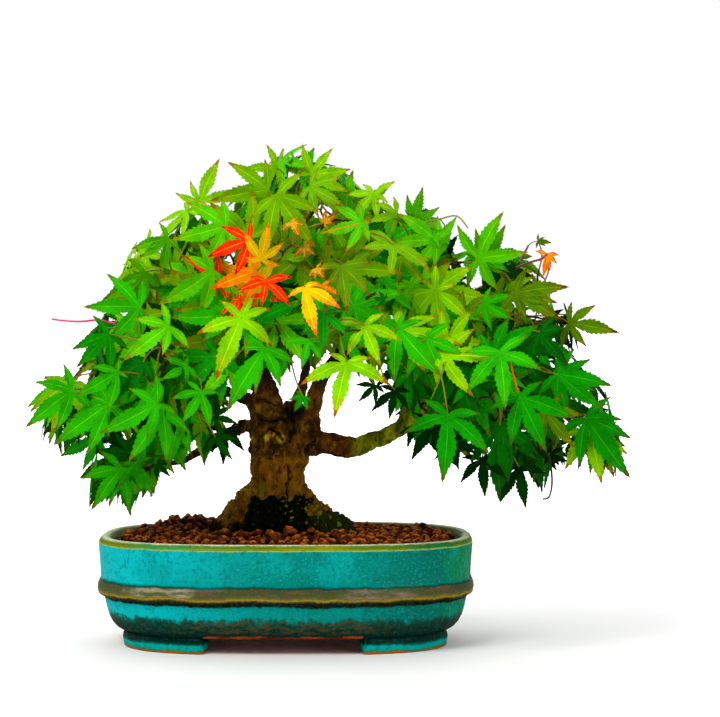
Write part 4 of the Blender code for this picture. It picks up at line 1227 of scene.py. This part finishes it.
def standardLeaf(seed):
    # a leaf on its own axes: x across, y to the tip, z out of the blade; unit length
    chance = random.Random(seed)
    size = 20
    count = 7 if seed % 3 else 5
    tips = []
    for degrees, reach in leaf["lobes"][:count]:
        angle = math.radians(90 + degrees + chance.uniform(-6, 6))
        reach *= size * chance.uniform(0.88, 1.08)
        tips.append((math.cos(angle) * reach, math.sin(angle) * reach))
    flat, faces, kinds, folds = leafOutline(tips, chance, chance.uniform(0.9, 1.12))
    droop = leaf["droop"] * chance.uniform(0.3, 1.5)
    twist = chance.uniform(-0.25, 0.25)
    points = []
    for (x, y), fold in zip(flat, folds):
        away = math.hypot(x, y) / size
        lift = -droop * size * away ** 2 - leaf["fold"] * fold + twist * x * y / size
        points.append(Vector((x, y, lift)) / size)
    return points, faces, kinds


# Tints: blade, rib, drawn-out tip, and the stretch before it, which turns first. Dark and deep are darker
# copies of the green: painted shade for leaves deep in the crown and behind others
tints = {"lime": ((120, 188, 0), (168, 218, 24), (152, 118, 6), (132, 180, 0)),
    "turned": ((118, 190, 0), (168, 218, 24), (156, 84, 8), (136, 172, 2)),
    "fresh": ((72, 176, 0), (118, 204, 16), (124, 124, 4), (90, 170, 0)),
    "meadow": ((96, 154, 0), (138, 184, 16), (128, 100, 4), (110, 146, 0)),
    "bright": ((34, 160, 0), (80, 188, 14), (80, 116, 4), (46, 152, 0)),
    "mid": ((8, 132, 0), (44, 156, 8), (66, 92, 4), (22, 124, 0)),
    "dark": ((2, 88, 0), (20, 112, 6), (38, 66, 2), (8, 80, 0)),
    "deep": ((0, 46, 0), (6, 62, 2), (20, 34, 2), (2, 40, 0)),
    "olive": ((80, 122, 0), (116, 150, 12), (104, 66, 4), (96, 112, 0)),
    "red": ((236, 44, 2), (250, 150, 10), (176, 10, 0), (240, 26, 0)),
    "orange": ((240, 130, 0), (252, 196, 20), (232, 62, 0), (244, 100, 0)),
    "yellow": ((206, 172, 0), (240, 214, 40), (226, 96, 0), (236, 140, 2)),
    "straw": ((196, 140, 16), (224, 180, 50), (120, 60, 8), (160, 96, 10))}

# Leaves that are known one by one: tint, layer from the front, joint, then lobe tips with the
# middle lobe first, all in pixels of the frame. Lobes that aren't given follow the leaf's rule.
namedLeaves = (
    ("bright", 0, (72, 390), (25, 428), (34, 382), (56, 431), (63, 363)),
    ("bright", 0, (157, 404), (98, 434), (146, 440), (128, 388), (155, 372), (178, 415)),
    ("bright", 1, (109, 404), (53, 446), (86, 455), (90, 396)),
    ("fresh", 0, (213, 271), (158, 305), (199, 318), (185, 255)),
    ("fresh", 0, (169, 326), (123, 361), (162, 356), (133, 319), (160, 300)),
    ("bright", 1, (118, 372), (74, 396), (90, 366), (118, 358), (128, 378)),
    ("mid", 1, (109, 334), (76, 368), (71, 350)),
    ("bright", 1, (140, 307), (83, 307)),
    ("fresh", 1, (145, 272), (101, 301), (127, 259), (113, 287)),
    ("fresh", 1, (168, 238), (139, 258), (160, 275), (131, 249)),
    ("lime", 0, (199, 202), (220, 158), (190, 180), (180, 228)),
    ("fresh", 1, (226, 226), (171, 240)),
    ("bright", 0, (201, 392), (181, 424), (210, 429), (219, 393)),
    ("bright", 1, (188, 366), (160, 380)),
    ("mid", 2, (176, 300), (176, 322)),
    ("dark", 2, (214, 416), (238, 424)),
    ("dark", 1, (215, 437), (233, 460), (204, 456)),
    ("deep", 2, (224, 430), (223, 466)),
    ("bright", 0, (121, 468), (92, 510), (80, 479)),
    ("bright", 0, (135, 463), (142, 493), (153, 497)),
    ("mid", 1, (124, 470), (131, 517)),
    ("mid", 1, (119, 470), (106, 503)),
    ("dark", 1, (130, 452), (98, 449)),
    ("dark", 2, (157, 463), (171, 477)),
    ("lime", 0, (277, 168), (243, 168), (266, 144)),
    ("lime", 0, (313, 174), (352, 169), (302, 143), (282, 167), (350, 192)),
    ("meadow", 1, (310, 186), (345, 206)),
    ("meadow", 0, (277, 195), (316, 248), (250, 220), (320, 212)),
    ("meadow", 1, (268, 190), (209, 201)),
    ("lime", 0, (374, 193), (352, 219), (396, 181), (362, 184)),
    ("lime", 0, (397, 213), (366, 222), (388, 235), (374, 202)),
    ("fresh", 0, (413, 222), (423, 186), (407, 194)),
    ("fresh", 1, (362, 222), (322, 233)),
    ("meadow", 0, (394, 245), (389, 278), (430, 270), (360, 249), (362, 230)),
    ("fresh", 1, (437, 240), (390, 243), (397, 213), (433, 268), (457, 216)),
    ("red", 0, (249, 240), (206, 258), (220, 226), (250, 219)),
    ("red", 0, (266, 281), (261, 307), (237, 291), (290, 306), (293, 277)),
    ("yellow", 0, (261, 260), (269, 222), (244, 230), (284, 242)),
    ("orange", 1, (257, 271), (210, 289), (232, 270)),
    ("yellow", 0, (304, 287), (317, 337), (287, 298), (320, 283)),
    ("straw", 1, (291, 222), (300, 238), (281, 232)),
    ("straw", 2, (304, 246), (316, 256), (294, 258), (309, 236)),
    ("straw", 2, (316, 268), (326, 280), (308, 278)),
    ("mid", 1, (303, 396), (294, 412), (312, 402)),
    ("orange", 2, (322, 285), (328, 308)),
    ("turned", 0, (241, 318), (215, 381), (196, 334), (273, 348), (219, 300), (254, 293), (271, 308)),
    ("bright", 1, (264, 348), (226, 412), (281, 388), (240, 348)),
    ("bright", 1, (309, 340), (301, 370), (281, 343)),
    ("mid", 1, (324, 313), (324, 352)),
    ("mid", 2, (258, 320), (303, 302), (281, 324)),
    ("olive", 0, (342, 266), (348, 313), (370, 296), (328, 287), (373, 263)),
    ("turned", 0, (347, 362), (334, 419), (389, 385), (300, 385), (327, 353), (372, 358)),
    ("lime", 1, (364, 325), (381, 366), (347, 356), (402, 341), (331, 321), (385, 313)),
    ("bright", 1, (398, 328), (442, 377), (424, 320), (406, 312)),
    ("turned", -1, (435, 290), (444, 359), (393, 306), (471, 322), (436, 262), (457, 285), (420, 278)),
    ("dark", 2, (385, 300), (372, 298)),
    ("dark", 2, (405, 345), (384, 363)),
    ("meadow", 1, (402, 256), (424, 284)),
    ("bright", 1, (421, 232), (440, 250)),
    ("deep", 2, (375, 385), (358, 402)),
    ("deep", 2, (395, 390), (389, 420), (371, 412)),
    ("mid", 0, (448, 415), (442, 484), (403, 434), (490, 455), (481, 414), (422, 399)),
    ("bright", 0, (500, 352), (505, 410), (466, 394), (543, 371), (463, 353), (530, 335)),
    ("fresh", 0, (478, 258), (529, 252), (504, 211), (499, 291), (457, 224), (467, 289)),
    ("fresh", 1, (486, 262), (506, 224)),
    ("olive", 1, (515, 293), (562, 320), (570, 287), (558, 303), (528, 320)),
    ("bright", 2, (484, 303), (515, 320)),
    ("olive", 1, (569, 323), (620, 333), (596, 305), (572, 301), (587, 347)),
    ("dark", 2, (540, 332), (569, 366), (567, 328), (514, 329), (530, 370)),
    ("mid", 1, (558, 374), (604, 409), (613, 386), (560, 408)),
    ("mid", 0, (520, 397), (547, 453), (511, 447), (576, 419), (543, 381)),
    ("mid", 0, (586, 418), (631, 479), (632, 439), (580, 469), (623, 420)),
    ("lime", 1, (589, 431), (602, 485)),
    ("olive", 1, (545, 412), (575, 448)),
    ("dark", 2, (500, 425), (508, 485), (500, 503)),
    ("dark", 2, (512, 437), (537, 460)),
    ("deep", 1, (519, 467), (526, 509), (500, 503), (547, 474)),
    ("deep", 2, (549, 455), (570, 462)),
    ("deep", 2, (482, 458), (485, 498)),
    ("deep", 2, (432, 425), (411, 461)),
    ("deep", 2, (452, 440), (459, 471), (477, 455)),
    ("orange", 0, (547, 254), (543, 277), (557, 264), (539, 262), (550, 272)),
    ("olive", 0, (538, 241), (552, 243), (545, 237), (546, 246)),
    ("straw", 1, (324, 223), (338, 213), (334, 222)),
)
# single stalks that show: girth, colour, then pixels from the free end or blade back to the crown
namedStalks = (
    ("pink", 0.34, ((52, 319), (62, 320.5), (80, 321.5), (100, 320), (116, 324))),
    ("purple", 0.42, ((547, 254), (541, 259), (531, 262), (516, 268))),
    ("purple", 0.5, ((528, 246), (525, 252), (519, 263))),
    ("pink", 0.22, ((538, 241), (531, 243), (527, 248))),
    ("green", 0.3, ((448, 415), (445, 396), (442, 380), (437, 366))),
    ("green", 0.26, ((431, 399), (436, 388), (442, 374), (446, 362))),
    ("amber", 0.42, ((518, 393), (514, 378), (510, 362))),
    ("shade", 0.4, ((543, 499), (549, 497), (552, 484), (551, 466), (549, 455))),
    ("green", 0.3, ((468, 228), (457, 216), (440, 219), (424, 223))),
    ("amber", 0.3, ((222, 207), (210, 206), (199, 203))),
    ("amber", 0.24, ((322, 233), (340, 228), (358, 224))),
    ("shade", 0.3, ((146, 453), (158, 456), (170, 452))),
)
stalkColours = {"pink": (196, 30, 90), "purple": (96, 12, 40), "green": (112, 128, 10),
    "amber": (196, 96, 6), "shade": (40, 26, 8)}
placing = {"share": 0.88, "layer": 7, "realLength": 20.5, "most": 1.15}


def inside(point, middle, halfSizes):
    away = point - middle
    return math.sqrt(sum((away[k] / halfSizes[k]) ** 2 for k in range(3)))


def frontDepth(px, py):
    # where a pixel's ray first enters the crown, or comes nearest to it
    start, end = alongRay(px, py, -100), alongRay(px, py, 100)
    run = (end - start) / 200
    best, nearest, closest = None, 1e9, 0
    for middle, halfSizes, _ in masses.values():
        sizes = [size * placing["share"] for size in halfSizes]
        away = [(start[k] - middle[k]) / sizes[k] for k in range(3)]
        step = [run[k] / sizes[k] for k in range(3)]
        a = sum(v * v for v in step)
        b = sum(v * w for v, w in zip(away, step))
        c = sum(v * v for v in away) - 1
        inner = b * b - a * c
        if inner >= 0:
            y = (-b - math.sqrt(inner)) / a - 100
            best = y if best is None else min(best, y)
        elif c - b * b / a < nearest:
            nearest, closest = c - b * b / a, -b / a - 100
    return closest if best is None else best


def placedLeaves():
    made = []
    for row, (tint, layer, (jx, jy), *given) in enumerate(namedLeaves):
        chance = random.Random(row * 7 + 1)
        y = frontDepth(jx, jy) + layer * placing["layer"] + chance.uniform(-1.5, 1.5)
        joint = alongRay(jx, jy, y)
        size = placing["realLength"] * chance.uniform(0.94, 1.06)
        if max(math.hypot(px - jx, py - jy) for px, py in given) < 27 and len(given) > 1:
            size *= 0.4     # a small dry or unfolding leaf
        flat = []
        for px, py in given:
            tip = alongRay(px, py, y)
            flat.append((tip.x - joint.x, tip.z - joint.z))
        middleLength = math.hypot(*flat[0])
        across = max([math.hypot(*tip) for tip in flat])
        ruleLength = max(middleLength, across * 0.9)
        turn = math.atan2(flat[0][1], flat[0][0])
        seen = [math.atan2(tip[1], tip[0]) for tip in flat]
        for degrees, reach in leaf["lobes"][1:5]:
            angle = turn + math.radians(degrees)
            if all(abs((angle - other + math.pi) % math.tau - math.pi) > 0.55 for other in seen):
                seen.append(angle)
                reach *= min(ruleLength, size) * 0.95
                flat.append((math.cos(angle) * reach, math.sin(angle) * reach))
        # the blade leans towards the eye as far as its middle lobe looks shortened
        lean = math.sqrt(max(0, size ** 2 - middleLength ** 2)) / middleLength
        lean = clamp(lean, 0.14, placing["most"])
        ux, uz = flat[0][0] / middleLength, flat[0][1] / middleLength
        sway = chance.uniform(-0.3, 0.3) + (joint.x - 5) / 260
        outline, faces, kinds, folds = leafOutline(flat, chance, 1)
        points = []
        for (dx, dz), fold in zip(outline, folds):
            along = dx * ux + dz * uz
            aside = dx * uz - dz * ux
            away = math.hypot(dx, dz) / size
            depth = y - lean * along + sway * aside + leaf["fold"] * fold + 1.4 * away ** 2 * size * leaf[
                "droop"]
            points.append(joint + Vector((dx, 0, dz)) + Vector((0, depth - joint.y, 0)))
        # keep each corner on its own ray, so the leaf reads the same from the front
        eye = Vector((camera["side"], -camera["away"], camera["height"]))
        points = [eye + (Vector((p.x, y, p.z)) - eye) * ((p.y - eye.y) / (y - eye.y)) for p in points]
        made.append((tint, joint, points, faces, kinds))
    return made


def reachTowards(halfSizes, direction):
    return 1 / math.sqrt(sum((direction[k] / halfSizes[k]) ** 2 for k in range(3)))


def bordersOf(name):
    middle, halfSizes, _ = masses[name]
    planes = []
    for other, (otherMiddle, otherSizes, _) in masses.items():
        if other == name:
            continue
        way = otherMiddle - middle
        own = reachTowards(halfSizes, way.normalized())
        theirs = reachTowards(otherSizes, way.normalized())
        if own + theirs > way.length:
            planes.append((middle + way * own / (own + theirs), way.normalized()))
    return planes


def pushBack(points, planes, middle, halfSizes):
    move = Vector()
    for place, way in planes:
        past = max((point - place).dot(way) for point in points) + growth["gap"]
        if past > 0:
            move -= way * past
    far = max(points, key=lambda point: inside(point, middle, halfSizes))
    past = inside(far, middle, halfSizes) - growth["skin"]
    if past > 0:
        move -= (far - middle) * past
    return move


def growTwigs(name, root, rootWay, planes):
    middle, halfSizes, _ = masses[name]
    bend = root + rootWay * growth["stemStart"][1]
    fork = bend + (middle - root) * growth["stemReach"]
    stem = [root - rootWay * 1.5, root + rootWay * growth["stemStart"][0], bend, fork]
    twigs = []
    for i, way in enumerate(spiral(growth["twigs"], growth["twigTop"], growth["twigFan"])):
        end = middle + scaled(way, halfSizes, growth["twigReach"])
        for _ in range(4):
            end += pushBack([end + way * 3, end - way * 3], planes, middle, halfSizes)
        leave = 0.98 - growth["twigStep"] * (growth["twigs"] - 1 - i)
        twigs.append((bend.lerp(fork, leave), end))
    return stem, twigs


def leafSites(name, spacing):
    middle, halfSizes, _ = masses[name]
    a, b, c = (size ** 1.6 for size in halfSizes)
    area = 4 * math.pi * ((a * b + a * c + b * c) / 3) ** (1 / 1.6)
    count = int(area / spacing ** 2)
    planes = bordersOf(name)
    sites = []
    for way in spiral(count):
        skin = middle + scaled(way, halfSizes)
        normal = Vector(way[k] / halfSizes[k] for k in range(3)).normalized()
        covered = any((skin - place).dot(away) > 4 for place, away in planes)
        if not covered and normal.dot(skin - Vector(growth["crownCore"])) > growth["inwardLimit"]:
            sites.append((way, normal))
    return sites


def leafHabit(chance, normal, joint):
    # blades face out of the crown and a little up, and hang by their tips
    out = joint - Vector(growth["crownCore"])
    out.z = 0
    out = out / max(18, out.length)
    faceWay = out * growth["facesOut"] + normal * 0.25 + Vector((0, 0, growth["facesUp"]))
    # those at the two ends turn part of the way to the front or the back
    faceWay.y += growth["facesAhead"] * abs(out.x) * (-1 if joint.y < chance.uniform(0, 24) else 1)
    if out.length < 0.7:
        faceWay += Vector((chance.gauss(0, 0.7), chance.gauss(0, 0.7), 0))
    faceWay.rotate(Matrix.Rotation(chance.uniform(-growth["turn"], growth["turn"]), 3, "Z"))
    faceWay += Vector(chance.gauss(0, growth["stray"]) for _ in range(3))
    hang = Vector((out.x, out.y, 0)) * growth["hangsOut"] - Vector((0, 0, growth["hangsDown"]))
    hang += Vector(chance.gauss(0, growth["tipStray"]) for _ in range(3))
    faceWay.normalize()
    tipWay = (hang - faceWay * hang.dot(faceWay)).normalized()
    return faceWay, tipWay, chance.uniform(*growth["length"])


def sprayTint(chance, place, inner):
    # tints go by spray: the autumn sprays sit left of the middle, and a few at the back; inner sprays and
    # most of those low on the right take darker greens as painted shade
    cluster = (place - Vector((-14, -70, 126))).length
    behind = (place - Vector((30, 66, 122))).length
    if not inner and (cluster < 9 or behind < 13):
        return chance.choice(("red", "orange", "yellow", "orange"))
    upper = place.z > 102 - 0.12 * place.x and not (place.x > 62 and place.z < 118)
    if inner:
        return chance.choice(("mid", "dark", "deep", "meadow") if upper else ("dark", "deep", "deep", "dark"))
    if upper and place.z > 128:
        return chance.choice(("lime", "fresh", "meadow", "meadow", "bright", "lime" if place.x < -20
            else "olive"))
    if upper:
        return chance.choice(("fresh", "meadow", "bright", "bright", "mid", "olive", "lime"))
    if place.x > 45:
        return chance.choice(("bright", "mid", "mid", "mid", "dark", "dark", "deep", "olive"))
    return chance.choice(("fresh", "bright", "bright", "mid", "mid", "dark", "meadow"))


def massRoot(name):
    carrier = masses[name][2]
    if carrier == "trunk":
        row = trunk["axis"][-1]
        return Vector((row[1], row[2], row[0])), Vector((0.1, 0, 1)).normalized()
    places = [Vector(place) for place in boughs[carrier][2]]
    path = smoothPath(places, 3 if boughs[carrier][0] > 3 else 2)
    return path[-1], (path[-1] - path[-2]).normalized()


def bent(start, end, chance, sag=0.08, steps=4):
    # points of a slightly bent run
    span = (end - start).length
    out = Vector((chance.gauss(0, 1), chance.gauss(0, 1), chance.gauss(0, 1) + 0.6))
    out = out - (end - start) * (out.dot(end - start) / max(1e-6, span * span))
    bow = out.normalized() * span * sag
    return [start.lerp(end, k / steps) + bow * math.sin(math.pi * k / steps) for k in range(steps + 1)]


def taper(points, girths):
    last = len(points) - 1
    return [(point, girths[0] + (girths[1] - girths[0]) * k / last) for k, point in enumerate(points)]


def nearestMass(point):
    return min(masses, key=lambda name: inside(point, *masses[name][:2]))


def cornersOf(points, joint, side, tipWay, faceWay, length):
    return [joint + (side * p.x + tipWay * p.y + faceWay * p.z) * length for p in points]


def crowded(joints, name, joint, apart):
    return any((joint - other).length < apart for mass, other in joints if mass == name)


def makeFoliage():
    sweeper = tubeTree()
    placed = placedLeaves()
    print("named leaves", len(placed))
    shapes = [standardLeaf(seed) for seed in range(leaf["variants"])]
    sites = []          # (tint, joint, tip way, face way, length, variant)
    twigRuns, stalkRuns = [], []
    nets = {}
    for name in masses:
        root, rootWay = massRoot(name)
        planes = bordersOf(name)
        stem, twigs = growTwigs(name, root, rootWay, planes)
        chance = random.Random("twigs " + name)
        stemPath = smoothPath(stem, 3)
        twigRuns.append(taper(stemPath, growth["stemGirth"]))
        net = []
        for start, end in twigs:
            run = bent(start, end, chance, 0.1, 6)
            twigRuns.append(taper(run, growth["twigGirth"]))
            for a, b in zip(run, run[1:]):
                net += [a, a.lerp(b, 0.5)]
            net.append(end)
        nets[name] = net
    known = [(seenAt(joint), joint.y) for _, joint, *_ in placed]
    joints = [(nearestMass(joint), joint) for _, joint, *_ in placed]
    for name, (middle, halfSizes, _) in masses.items():
        chance = random.Random("leaves " + name)
        planes = bordersOf(name)
        for inner, spacing in ((False, growth["leafSpacing"]), (True, growth["innerSpacing"])):
            for way, normal in leafSites(name, spacing):
                for depth in growth["depths"]:
                    if inner:
                        depth = growth["innerDepth"] + (depth - 0.8) * 0.8
                    joint = middle + scaled(way, halfSizes, depth)
                    faceWay, tipWay, length = leafHabit(chance, normal, joint)
                    side = tipWay.cross(faceWay)
                    variant = chance.randrange(leaf["variants"])
                    for _ in range(growth["slides"]):
                        corners = cornersOf(shapes[variant][0][1::3], joint, side, tipWay, faceWay, length)
                        move = pushBack(corners, planes, middle, halfSizes)
                        joint = joint + move * 1.05
                    if move.length > 0.6:
                        continue
                    corners = cornersOf(shapes[variant][0][1::2], joint, side, tipWay, faceWay, length)
                    if openSky(corners, joint):
                        continue
                    apart = growth["innerApart"] if inner else growth["apart"]
                    if crowded(joints, name, joint, apart):
                        continue
                    # nothing hangs in front of the leaves that are known one by one
                    x, y = seenAt(joint)
                    if any(joint.y < depth + 5 and math.hypot(x - px, y - py) < growth["view"]
                           for (px, py), depth in known):
                        continue
                    tint = sprayTint(chance, joint, inner)
                    sites.append((tint, joint, side, tipWay, faceWay, length, variant))
                    joints.append((name, joint))
                    break
    print("rule-grown leaves", len(sites))
    sites += frontSprays(shapes, joints, known)
    print("with the front sprays", len(sites))
    # fine twigs and stalks reach from the nearest twig to each leaf
    chance = random.Random("stalks")
    for name, joint in sorted(joints, key=lambda pair: (pair[0], (pair[1] - masses[pair[0]][0]).length)):
        net = nets[name]
        foot = min(net, key=lambda spot: (spot - joint).length)
        gap = (joint - foot).length
        if gap > growth["stalkLength"] * 1.3:
            end = joint + (foot - joint).normalized() * growth["stalkLength"]
            run = bent(foot, end, chance, 0.12, 4)
            twigRuns.append(taper(run, growth["fineGirth"]))
            net += run[1:]
            foot = end
        stalkRuns.append(taper(bent(foot, joint, chance, 0.14, 4), growth["stalkGirth"]))
    wood = plainFinish("twigBark", (52, 34, 14), 0.75, 0.2, 0.8, 0.6)
    sweep("twigs", twigRuns, sweeper, 6, wood)
    stalk = plainFinish("leafStalk", (118, 104, 12), 0.5, 0.15)
    sweep("stalks", stalkRuns, sweeper, 5, stalk)
    for colour, shade in stalkColours.items():
        runs = []
        for kind, girth, spots in namedStalks:
            if kind == colour:
                depths = [frontDepth(*spot) + 2 for spot in spots]
                depth = sum(depths) / len(depths)
                path = smoothPath([alongRay(*spot, (y + depth) / 2) for spot, y in zip(spots, depths)], 4)
                runs.append(taper(path, (girth * 0.8, girth)))
        sweep(colour + "Stalks", runs, sweeper, 6, plainFinish(colour + "Stalk", shade, 0.5, 0.15))
    makeLeaves(placed, sites, shapes)


# Sprays that fill the front between the leaves that are known one by one
sprays = {"step": 21, "stray": 7.5, "layers": (7, 15, 25), "clear": 5, "apart": 6, "seed": 31,
    "length": (15, 21), "core": (10, 100), "view": 48,
    "frame": (22, 145, 636, 512)}


def frontSprays(shapes, joints, known):
    chance = random.Random(sprays["seed"])
    left, top, right, bottom = sprays["frame"]
    step = sprays["step"]
    sites = []
    for layer, back in enumerate(sprays["layers"]):
        for row in range(int((bottom - top) / step) + 1):
            for column in range(int((right - left) / step) + 1):
                px = left + (column + 0.5 * ((row + layer) % 2)) * step + chance.gauss(0, sprays["stray"])
                py = top + (row + 0.33 * layer) * step + chance.gauss(0, sprays["stray"])
                if not within(crownOutline, px, py):
                    continue
                y = frontDepth(px, py) + back + chance.uniform(-2.5, 2.5)
                for (knownX, knownY), knownDepth in known:
                    if math.hypot(px - knownX, py - knownY) < sprays["view"]:
                        y = max(y, knownDepth + sprays["clear"] + 2 * layer)
                joint = alongRay(px, py, y)
                name = nearestMass(joint)
                if inside(joint, *masses[name][:2]) > 1:
                    continue
                out = Vector((joint.x - sprays["core"][0], 0, joint.z - sprays["core"][1])).normalized()
                faceWay = Vector((out.x * 0.3, -1, 0.3)) + Vector(chance.gauss(0, 0.28) for _ in range(3))
                faceWay.normalize()
                hang = out * 0.8 + Vector((chance.gauss(0, 0.45), -0.1, -0.5 + chance.gauss(0, 0.35)))
                tipWay = (hang - faceWay * hang.dot(faceWay)).normalized()
                side = tipWay.cross(faceWay)
                length = chance.uniform(*sprays["length"])
                variant = chance.randrange(leaf["variants"])
                corners = cornersOf(shapes[variant][0][1::2], joint, side, tipWay, faceWay, length)
                if openSky(corners, joint):
                    continue
                if crowded(joints, name, joint, sprays["apart"]):
                    continue
                tint = sprayTint(chance, joint, layer == 2)
                sites.append((tint, joint, side, tipWay, faceWay, length, variant))
                joints.append((name, joint))
    return sites


def bladeFinish(name, colour):
    made, tree = shaderTree(name)
    where = potSpace(tree)
    base = paint(*colour)
    darker = tuple(c * 0.66 for c in base)
    lighter = tuple(min(1, c * 1.22) for c in base)
    mottle = grain(where, 1.3, 4, None, 0.65)
    tone = mixed(spread(grain(where, 0.14), 0.40, 0.66, 0, 0.75), base, darker)
    tone = mixed(spread(mottle, 0.50, 0.72, 0, 0.55), tone, lighter)
    return finished(made, tone, 0.5, 0.02, plus(mottle, grain(where, 0.5, 2)), 0.4, 0.0007)


bladeParts = ("Blade", "Rib", "Tip", "Turning")


def makeLeaves(placed, sites, shapes):
    source = bpy.data.collections.new("leafShapes")
    for k, (points, faces, kinds) in enumerate(shapes):
        mesh = meshOf("leafShape%02d" % k, points, [], faces)
        for label, kind in (("isRib", 1), ("isTip", 2), ("isTurning", 3)):
            hold(mesh, label, "BOOLEAN", [value == kind for value in kinds], "FACE")
        mesh.shade_smooth()
        source.objects.link(bpy.data.objects.new("leafShape%02d" % k, mesh))
    tree, given, result = growTree("leafTree", (
        ("Shapes", "Collection"), *((part, "Material") for part in bladeParts)))

    def named(label, kind):
        return addNode(tree, "GeometryNodeInputNamedAttribute", {"Name": label}, data_type=kind).outputs[0]

    spots = addNode(tree, "GeometryNodeMeshToPoints", {"Mesh": given.outputs["Geometry"]})
    turn = addNode(tree, "FunctionNodeEulerToRotation", {0: named("turn", "FLOAT_VECTOR")})
    copies = copiesOf(tree, given, {"Points": spots.outputs[0], "Instance Index": named("shape", "INT"),
        "Rotation": turn.outputs[0], "Scale": named("size", "FLOAT")})
    real = addNode(tree, "GeometryNodeRealizeInstances", {0: copies})
    last = real.outputs[0]
    for label, selection in zip(bladeParts, (None, "isRib", "isTip", "isTurning")):
        feeds = {"Geometry": last, "Material": given.outputs[label]}
        if selection:
            feeds["Selection"] = named(selection, "BOOLEAN")
        last = addNode(tree, "GeometryNodeSetMaterial", feeds).outputs[0]
    tree.links.new(last, result.inputs[0])
    for tint, colours in tints.items():
        finishes = [bladeFinish(tint + part, colour) for part, colour in zip(bladeParts, colours)]
        own = [site for site in sites if site[0] == tint]
        known = [leafRow for leafRow in placed if leafRow[0] == tint]
        if known:
            points, faces, picks = [], [], []
            for _, _, corners, sides, kinds in known:
                start = len(points)
                points += corners
                faces += [tuple(start + v for v in side) for side in sides]
                picks += kinds
            made = newPiece(tint + "NamedLeaves", points, faces, finishes, picks)
            finishPiece(made)
        if own:
            mesh = meshOf(tint + "Leaves", [inWorld(site[1]) for site in own])
            turns, lengths, kinds = [], [], []
            for _, _, side, tipWay, faceWay, length, variant in own:
                matrix = Matrix((side, tipWay, faceWay)).transposed()
                turns += matrix.to_euler()[:]
                lengths.append(length * mm)
                kinds.append(variant)
            hold(mesh, "turn", "FLOAT_VECTOR", turns)
            hold(mesh, "size", "FLOAT", lengths)
            hold(mesh, "shape", "INT", kinds)
            made = linked(tint + "Leaves", mesh)
            runTree(made, tree, {"Shapes": source, **dict(zip(bladeParts, finishes))})
            finishPiece(made)
            if tint == "mid":
                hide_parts(*masses)


# Studio

studio = {"front": 0.3, "behind": 1, "floorHalf": 20, "floorNear": 0.3, "floorFar": 1.1,
    "lamps": {"key": ((-0.55, -1, 1.05), 0.6, 17, (1, 0.985, 0.96)),
              "fill": ((0.9, -0.9, 0.5), 0.9, 5, (0.98, 0.99, 1)),
              "back": ((0.1, 0.9, 0.9), 0.8, 4, (1, 1, 1))}}


def makeStage():
    half = studio["floorHalf"]
    corners = [(-half, -half, 0), (half, -half, 0), (half, half, 0), (-half, half, 0)]
    floor = meshOf("floor", corners, [], [(0, 1, 2, 3)])
    ground = linked("floor", floor)
    made, tree = shaderTree("paleFloor")
    shader = tree.nodes["Principled BSDF"]
    where = addNode(tree, "ShaderNodeTexCoord").outputs["Object"]
    feed(shader, "Base Color", mixed(grain(where, 3), (0.93, 0.93, 0.925), (0.96, 0.96, 0.955)))
    feed(shader, "Roughness", 0.7)
    # further from the pot the floor glows white, though it is no lamp
    gap = addNode(tree, "ShaderNodeVectorMath", {0: where}, operation="LENGTH").outputs["Value"]
    feed(shader, "Emission Color", (1, 1, 1, 1))
    feed(shader, "Emission Strength", spread(gap, studio["floorNear"], studio["floorFar"]))
    floor.materials.append(made)
    world = bpy.data.worlds.new("studio")
    bpy.context.scene.world = world
    world.use_nodes = True
    # the studio is white behind and beside the plant, and dim in front of it
    sky = world.node_tree
    way = addNode(sky, "ShaderNodeTexCoord")
    light = sky.nodes["Background"]
    feed(light, 0, (1, 1, 1, 1))
    feed(light, 1, spread(parts(way.outputs["Generated"])[1], -0.75, 0.1, studio["front"], studio["behind"]))
    for name, (place, size, power, colour) in studio["lamps"].items():
        lamp = bpy.data.lights.new(name, "AREA")
        lamp.size, lamp.energy, lamp.color = size, power, colour
        holder = linked(name, lamp)
        holder.location = place
        aim = Vector((0, 0, 0.09)) - Vector(place)
        holder.rotation_euler = aim.to_track_quat("-Z", "Y").to_euler()
    bpy.context.scene.view_settings.view_transform = "Standard"


placeCamera()
makeStage()
print("stage ready")
makePot()
print("pot ready")
makeGranules()
print("soil ready")
limbs = makeLimbs()
makeMoss(limbs)
print("limbs and moss ready")
makeFoliage()
print("foliage ready")
